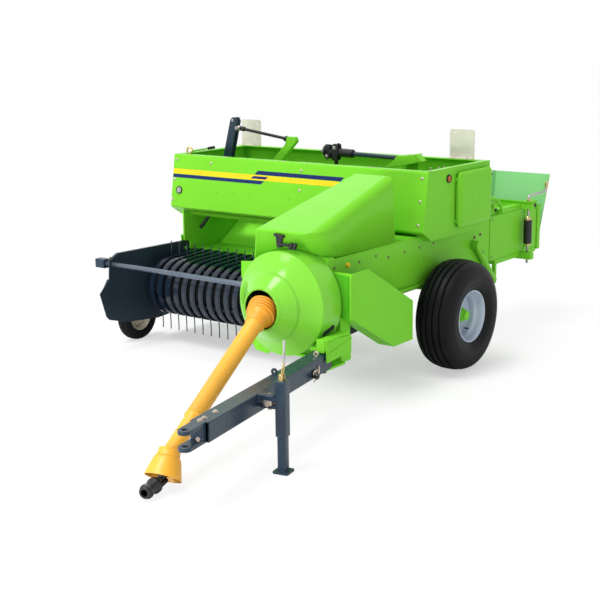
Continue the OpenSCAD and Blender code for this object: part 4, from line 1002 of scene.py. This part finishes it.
# Feeder: right end wall rising along the box's slope, and the packers' prongs
FEEDER_X = -2140
FEEDER_WALL = [(-246, 664), (-246, 894), (-150, 842), (550, 840), (150, 578), (-176, 578), (-186, 604),
               (-182, 650)]
PRONGS = [
    [(-1930, -40, 1000), (-1960, -80, 900), (-2012, -112, 828), (-2076, -126, 745)],
    [(-1500, -40, 1000), (-1520, -60, 900), (-1560, -80, 860)],
]


def add_feeder_end():
    lug = rounded(rect(-234, 580, -196, 700), [18, 18, 0, 0])
    piece("feeder_right_wall", LIME, (prism, FEEDER_WALL, FEEDER_X, FEEDER_X + 12),
          (rod, (-2176, -215, 600), (FEEDER_X, -215, 600), 14.5), (prism, lug, -2176, -2168),
          (block, (-2176, -234, 692), (FEEDER_X + 4, -196, 700)), bevel=2, replaces="feeder_end_wall")
    piece("packer_prongs", BLACK, *[(tube, path, 13, 10) for path in PRONGS], smooth=60)


add_feeder_end()

# Feeding linkage above the box, along the rail's middle line
LINK_Y = 230
ARM = rounded([(-2136, 1205), (-2064, 1205), (-1990, 1495), (-2004, 1522), (-2034, 1522), (-2052, 1505)],
              [0, 0, 14, 12, 12, 10])
ARM_CORE = [(-2120, 1211), (-2080, 1211), (-2014, 1490), (-2044, 1490)]
CRANK = rounded([(-1680, 1211), (-1600, 1211), (-1448, 1372), (-1462, 1402), (-1536, 1402), (-1548, 1350)],
                [0, 0, 12, 12, 12, 10])
FORK = rounded([(-1192, 1268), (-1166, 1260), (-1146, 1284), (-1152, 1352), (-1178, 1364), (-1198, 1340)], 12)
EYE = rounded([(-1128, 1262), (-1096, 1252), (-1078, 1300), (-1086, 1368), (-1112, 1376), (-1132, 1350)], 14)
# Turned parts: section, X, Z and axis
LINK_ENDS = [
    ([(0, -26), (16, -20), (22, 0), (16, 20), (0, 26)], -1548, 1385, (0, 1, 0), 28),
    ([(12, 0), (17, 3), (17, 40), (12, 44)], -1975, 1443, (440, 0, -59), 20),
]
JOINT_BALL = [(0, -22), (12, -19), (20, -8), (20, 8), (12, 19), (0, 22)]
JOINT_NUT = [(0, 0), (9, 26), (20, 34), (34, 46), (36, 66), (30, 70), (0, 70)]
JOINT_RING = [(30, 0), (46, 4), (48, 14), (40, 22), (24, 24), (24, 0)]
JOINT_SLEEVE = [(12, 0), (28, 4), (30, 12), (30, 112), (26, 118), (12, 118)]
# Bolts as (X, distance in front of the line, Z, radius)
LINK_BOLTS = [(-1993, 26, 1444, 11), (-2028, 26, 1500, 9), (-1172, 32, 1284, 10), (-1106, 34, 1346, 10)]
# Sheets of the packer's stand: outline, and reach from the line
STAND = [
    ([(-672, 1236), (-590, 1300), (-574, 1320), (-434, 1336), (-386, 1292), (-508, 1264)], -60, -54),
    ([(-590, 1296), (-574, 1315), (-434, 1331), (-434, 1337), (-574, 1321), (-596, 1300)], -60, 40),
    ([(-434, 1337), (-386, 1293), (-390, 1288), (-438, 1331)], -60, 10),
    ([(-650, 1209), (-560, 1209), (-520, 1266), (-620, 1276)], -57, -50),
    ([(-560, 1209), (-470, 1209), (-450, 1300), (-540, 1300)], 20, 28),
]
LIFTING_RING = [(15, -7), (22, -7), (27, 0), (22, 7), (15, 7), (13, 0)]


def link_plate(outline, near, far):
    """Upright plate across the linkage's line."""
    return (prism, outline, LINK_Y + near, LINK_Y + far, "y")


def link_rod(x0, z0, x1, z1, r):
    """Round bar along the linkage's line."""
    return (rod, (x0, LINK_Y, z0), (x1, LINK_Y, z1), r)


def link_turned(section, x, z, axis, steps):
    """Turned part on the linkage's line."""
    return (lathe, section, (x, LINK_Y, z), axis, steps)


def add_linkage():
    piece("feeder_arm", STEEL_NAVY, link_plate(ARM, -26, -8), link_plate(ARM, 8, 26),
          link_plate(ARM_CORE, -9, 9),
          slot="navy_paint", bevel=3, replaces="feeder_post")
    piece("feeder_link_rod", BLACK, link_rod(-1985, 1444, -1545, 1385, 11),
          *[link_turned(*end) for end in LINK_ENDS],
          (rod, (-1548, LINK_Y - 34, 1385), (-1548, LINK_Y + 34, 1385), 9), replaces="feeder_rod")
    bolts = [(bolt, (x, LINK_Y - ahead, z), (0, -1, 0), r) for x, ahead, z, r in LINK_BOLTS]
    piece("linkage_joints", STEEL, link_turned(JOINT_BALL, -1993, 1444, (0, 1, 0), 28), *bolts,
          link_turned(JOINT_NUT, -1258, 1316, ACROSS, 32))
    cheeks = []
    for y in (-32, 14):
        cheeks.append(link_plate(FORK, y, y + 12))
        cheeks.append(link_plate(EYE, y - 2, y + 10))
    piece("packer_joint", BLACK, link_turned(JOINT_RING, -1200, 1318, ACROSS, 32), *cheeks,
          link_rod(-1190, 1314, -1086, 1312, 17),
          (rod, (-1140, LINK_Y - 40, 1313), (-1140, LINK_Y + 40, 1313), 13),
          link_rod(-1112, 1211, -1112, 1300, 14), link_turned(JOINT_SLEEVE, -1084, 1312, (1, 0, -0.03), 36),
          bevel=2, replaces="packer_link")
    piece("packer_rod", STEEL_NAVY, link_rod(-980, 1308, -612, 1300, 15), slot="navy_paint")
    piece("feeder_crank", LIME, link_plate(CRANK, -20, 20), bevel=4, segments=3, replaces="feeder_lever")
    piece("packer_stand", LIME, *[link_plate(*sheet) for sheet in STAND], bevel=2, replaces="packer_bracket")
    piece("lifting_eye", BRASS, (lathe, LIFTING_RING, (-2139, -150, 1306), (0.35, -1, 0), 32),
          (rod, (-2139, -150, 1270), (-2139, -150, 1284), 9), smooth=60)
    piece("twine_lever", LIME, (tube, [(-2236, -30, 1284), (-2200, 50, 1292), (-2166, 128, 1300)], 6, 10),
          smooth=60)
    piece("twine_lever_grip", BLACK, (rod, (-2182, 92, 1296), (-2158, 146, 1302), 11, 16, 4))


add_linkage()

# Bale tension: screws with covered springs and cranks, and the cross bar's lips; sections as (radius, Z)
SCREW_Y = 1215
SPRING_COVER = [(10, 622), (28, 622), (31, 626), (30, 640), (30, 774), (31, 788), (28, 792), (10, 792)]
SPRING_CAPS = [
    [(9, 792), (24, 792), (22, 800), (13, 816), (9, 818)],
    [(9, 604), (22, 604), (22, 612), (16, 622), (9, 622)],
]
CRANK_PATH = [(SCREW_Y, 930), (SCREW_Y, 950), (SCREW_Y + 8, 962), (SCREW_Y + 24, 964), (1465, 967),
              (1487, 970),
              (1494, 984), (1496, 1034)]
KNOTTER_HOOP = [(640, 880), (650, 970), (690, 1010), (760, 1000), (830, 950), (870, 885)]
KNOTTER_BOLTS = [(652, 960), (652, 920), (700, 935), (848, 905), (1296, 535)]


def add_tension():
    rods, covers, caps, grips, hoops = [], [], [], [], []
    for x in (-125, -650):
        foot = (x, SCREW_Y, 0)
        rods.append((rod, (x, SCREW_Y, 477), (x, SCREW_Y, 945), 9))
        rods.append((tube, [(x, *at) for at in CRANK_PATH], 9, 12))
        covers.append((lathe, SPRING_COVER, foot, UP, 40))
        caps += [(lathe, cap, foot, UP, 28) for cap in SPRING_CAPS]
        caps.append((rod, (x, SCREW_Y, 921), (x, SCREW_Y, 944), 15))
        grips.append((rod, (x, 1496, 990), (x, 1496, 1036), 12, 16, 3))
    piece("tension_rods", STEEL, *rods, smooth=50, replaces="tension_screws")
    piece("spring_covers", BLACK, *covers)
    piece("spring_caps", BRASS, *caps)
    piece("crank_grips", BRASS, *grips)
    for x in (CHAMBER_LEFT + 26, CHAMBER_RIGHT - 26):
        hoops.append((tube, [(x, *at) for at in KNOTTER_HOOP], 11, 12))
    lips = [(1184, 930), (1184, 915), (1250, 915), (1250, 868)]
    piece("knotter_guards", LIME, (folded, lips, [0, 8, 8, 0], -6, -695, -80), *hoops, bevel=1.5)
    bolts = [(bolt, (CHAMBER_LEFT - 20, *at), ACROSS, 11) for at in KNOTTER_BOLTS]
    piece("rear_bolts", IRON, *bolts, (bolt, (CHAMBER_LEFT + 90, SCREW_Y + 22, 897), ACROSS, 11))


add_tension()

# Chute: outer skins of its flanges, in the chute's own plane
CHUTE_AT = Vector((MIDDLE, 1490, 546))
CHUTE_LEAN = math.radians(14)
CHUTE_UP = Vector((0, math.sin(CHUTE_LEAN), math.cos(CHUTE_LEAN)))
CHUTE_FRONT = Vector((0, -math.cos(CHUTE_LEAN), math.sin(CHUTE_LEAN)))
CHUTE_FLANGE = rounded([(46, 0), (540, 0), (545, 42), (46, 42)], [2, 2, 8, 8])


def on_chute(side):
    """Frame of the flange on one side: up the chute, forwards and outwards."""
    def place(up, front, out):
        half = 201 + 22 * (up - 30) / 517
        across = side * (half + front * 0.364 + out)
        return CHUTE_AT + ACROSS * across + CHUTE_UP * up + CHUTE_FRONT * (front - 8)
    return place


piece("chute_flange_skins", LIME, *[(prism, CHUTE_FLANGE, 0.4, 2.4, on_chute(side)) for side in (-1, 1)],
      body="bale_chute")

# Drawbar and jack details, in the drawbar's own line
BAR_AT = Vector((*PIVOT, 400))
BAR_YAW = math.radians(11)
BAR_LINE = heading(BAR_YAW)
BAR_SIDE = Vector((math.cos(BAR_YAW), math.sin(BAR_YAW), 0))
JACK_AT = Vector((230.6, -2114, 0))
JACK_CLAMP = JACK_AT - BAR_SIDE * 70
JACK_TOP = JACK_AT + UP * 475
JACK_LOOP = [(0, -6, 22), (6, -7, 60), (12, -4, 92), (14, 4, 92), (8, 7, 60), (0, 6, 22)]


def upright(outline, at, z0, z1):
    """Upright bar or plate, turned with the drawbar."""
    def place(u, v, t):
        return Vector((at.x, at.y, t)) + BAR_SIDE * u - BAR_LINE * v
    return (prism, outline, z0, z1, place)


def square(size, radius):
    return rounded(rect(-size / 2, -size / 2, size / 2, size / 2), radius)


def add_jack():
    plate = rounded(rect(-52, -24, 40, 24), 4)
    plates = [upright(plate, JACK_AT - BAR_SIDE * 62, z, z + 14) for z in (330, 372)]
    piece("jack_outer", STEEL_NAVY, upright(square(56, 5), JACK_AT, 190, 475), *plates, body="drawbar",
          bevel=2,
          replaces="jack_tube")
    piece("jack_foot", STEEL_NAVY, upright(square(44, 4), JACK_AT, 8, 340),
          upright(square(88, 14), JACK_AT, 0, 11),
          body="jack_leg", bevel=2, replaces="jack_leg")
    piece("jack_clamp", BOLT, upright(square(46, 6), JACK_CLAMP + BAR_LINE * 4, 346, 370),
          (bolt, JACK_CLAMP + BAR_LINE * 30 + UP * 352, BAR_LINE, 10),
          (rod, JACK_CLAMP + UP * 318, JACK_CLAMP + UP * 400, 11), body="drawbar", slot="galvanised", bevel=1)
    x, y, z = JACK_TOP
    cheek = rounded([(x - 11, z), (x + 11, z), (x + 10, z + 36), (x - 10, z + 36)], [0, 0, 9, 9])
    piece("jack_fork", BRASS, (prism, cheek, y - 13, y - 9, "y"), (prism, cheek, y + 9, y + 13, "y"),
          (rod, JACK_TOP + Vector((0, -16, 24)), JACK_TOP + Vector((0, 16, 24)), 5),
          (tube, [JACK_TOP + Vector(p) for p in JACK_LOOP], 3.2, 8), body="drawbar", smooth=50)
    piece("jack_handle", STEEL, (rod, JACK_TOP + Vector((13, 0, 88)), JACK_TOP + Vector((16, 0, 206)), 7, 16,
                                 2),
          body="drawbar")


def on_bar(along, side, up):
    """Place by distance along the drawbar, to its left and above its top."""
    return BAR_AT + BAR_LINE * along + BAR_SIDE * side + UP * up


# Hook for the hoses, by place on the drawbar
BAR_HOOK = [(170, 56, -40), (205, 72, -62), (236, 78, -88), (262, 66, -104)]


def add_drawbar_trim():
    bolts = [(bolt, on_bar(along, 0, 0), UP, 12) for along in (1190, 1292, 1330)]
    ring = [(12, -3), (17, -3), (19, 0), (17, 3), (12, 3)]
    rings = [(lathe, ring, on_bar(along, 60, -66), BAR_SIDE, 24) for along in (210, 232)]
    small_ring = [(9, -4), (14, -4), (16, 0), (14, 4), (9, 4)]
    piece("drawbar_bolts", BOLT, *bolts, (bolt, on_bar(812, 52, -40), BAR_SIDE, 10),
          (lathe, small_ring, on_bar(128, 18, 14), BAR_LINE, 24), *rings,
          (tube, [on_bar(*at) for at in BAR_HOOK], 4, 8), (bolt, on_bar(1408, 34, -60), BAR_LINE, 8),
          body="drawbar")
    eye = [(7, -6), (17, -6), (19, 0), (17, 6), (7, 6)]
    piece("drawbar_eye", STEEL_NAVY, (lathe, eye, on_bar(512, -40, 10), BAR_LINE, 28), body="drawbar")
    piece("drawbar_knob", BLACK, (rod, on_bar(236, 48, -74), on_bar(236, 86, -80), 16, 16, 4), body="drawbar")


add_jack()
add_drawbar_trim()

# Stage: floor, world and lamps
FLOOR_REACH = 60000
# Share of the floor's white that shows through the shadow, near the axle's line and away from it
FLOOR_LIFT = (0.48, 0.86)
SHADOW_MIDDLE = 0.45
SHADOW_FADE = (0.25, 0.95)
WORLD_FILL = 0.62


def lift_floor(mat):
    """Lets the camera see the floor's white through part of the shadow."""
    tree = mat.node_tree
    place = add_node(tree, "NewGeometry", {}).outputs["Position"]
    along = add_node(tree, "SeparateXYZ", {0: place}).outputs["Y"]
    ahead = add_node(tree, "Math", {0: along, 1: SHADOW_MIDDLE}, operation="SUBTRACT").outputs[0]
    away = add_node(tree, "Math", {0: ahead}, operation="ABSOLUTE").outputs[0]
    fade = {"Value": away, "From Min": SHADOW_FADE[0], "From Max": SHADOW_FADE[1], "To Min": FLOOR_LIFT[0],
            "To Max": FLOOR_LIFT[1]}
    lift = add_node(tree, "MapRange", fade, interpolation_type="SMOOTHSTEP").outputs["Result"]
    seen = add_node(tree, "LightPath", {}).outputs["Is Camera Ray"]
    part = add_node(tree, "Math", {0: seen, 1: lift}, operation="MULTIPLY").outputs[0]
    glow = add_node(tree, "Emission", {"Strength": 1.0}).outputs[0]
    paint = tree.nodes["Principled BSDF"].outputs[0]
    mix = add_node(tree, "MixShader", {0: part, 1: paint, 2: glow}).outputs[0]
    feed(tree, tree.nodes["Material Output"], {"Surface": mix})


def add_floor():
    bm = bmesh.new()
    prism(bm, rect(-FLOOR_REACH, -FLOOR_REACH, FLOOR_REACH, FLOOR_REACH), -20, 0, "z")
    data = bpy.data.meshes.new("floor")
    bm.to_mesh(data)
    bm.free()
    data.transform(TO_FRAME)
    mat = finish("floor_white", (0.86, 0.86, 0.86), shade=0.99, rough=0.9, mottle=1, grain=50, bump=0.0,
                 specular=0.0)
    lift_floor(mat)
    data.materials.append(mat)
    floor = bpy.data.objects.new("floor", data)
    scene.collection.objects.link(floor)


def add_world():
    world = bpy.data.worlds.new("studio")
    world.use_nodes = True
    scene.world = world
    tree = world.node_tree
    tree.nodes.clear()
    path = add_node(tree, "LightPath", {})
    seen = path.outputs["Is Camera Ray"]
    for ray in ("Is Glossy Ray", "Is Transmission Ray"):
        seen = add_node(tree, "Math", {0: seen, 1: path.outputs[ray]}, operation="MAXIMUM").outputs[0]
    white = (1, 1, 1, 1)
    fill = add_node(tree, "Background", {"Color": white, "Strength": WORLD_FILL}).outputs[0]
    backdrop = add_node(tree, "Background", {"Color": white, "Strength": 1.0}).outputs[0]
    mix = add_node(tree, "MixShader", {0: seen, 1: fill, 2: backdrop}).outputs[0]
    add_node(tree, "OutputWorld", {"Surface": mix})


# Softboxes: name, place and aim in machine metres, width, height, power in watts
SOFTBOXES = [
    ("front", (-4.0, -6.2, 6.4), (-0.6, -1.0, 0.6), 2.0, 1.3, 85),
    ("top", (-0.8, -1.6, 6.6), (-0.8, -1.2, 0.6), 3.2, 3.2, 60),
    ("back", (-4.3, 3.2, 4.6), (-0.4, -1.1, 1.08), 2.0, 1.0, 16),
    ("low", (-0.9, -5.8, 0.9), (-1.4, 0.2, 0.7), 2.2, 0.7, 85),
    ("side", (6.0, -2.0, 2.4), (-0.2, -0.2, 0.8), 3.0, 2.0, 30),
]
SUN_FROM = Vector((-0.20, -0.36, 1.0))
SUN_STRENGTH = 1.65
SUN_SPREAD = math.radians(20)


def add_lamps():
    sun = bpy.data.lights.new("sun", "SUN")
    sun.energy = SUN_STRENGTH
    sun.angle = SUN_SPREAD
    sky = bpy.data.objects.new("sun", sun)
    sky.rotation_euler = (-SUN_FROM).to_track_quat("-Z", "Y").to_euler()
    scene.collection.objects.link(sky)
    for name, place, aim, width, height, power in SOFTBOXES:
        data = bpy.data.lights.new(name, "AREA")
        data.shape = "RECTANGLE"
        data.size = width
        data.size_y = height
        data.energy = power
        lamp = bpy.data.objects.new(name, data)
        lamp.location = ORIGIN + Vector(place)
        lamp.rotation_euler = (Vector(aim) - Vector(place)).to_track_quat("-Z", "Y").to_euler()
        scene.collection.objects.link(lamp)


add_floor()
add_world()
add_lamps()

bpy.context.view_layer.update()
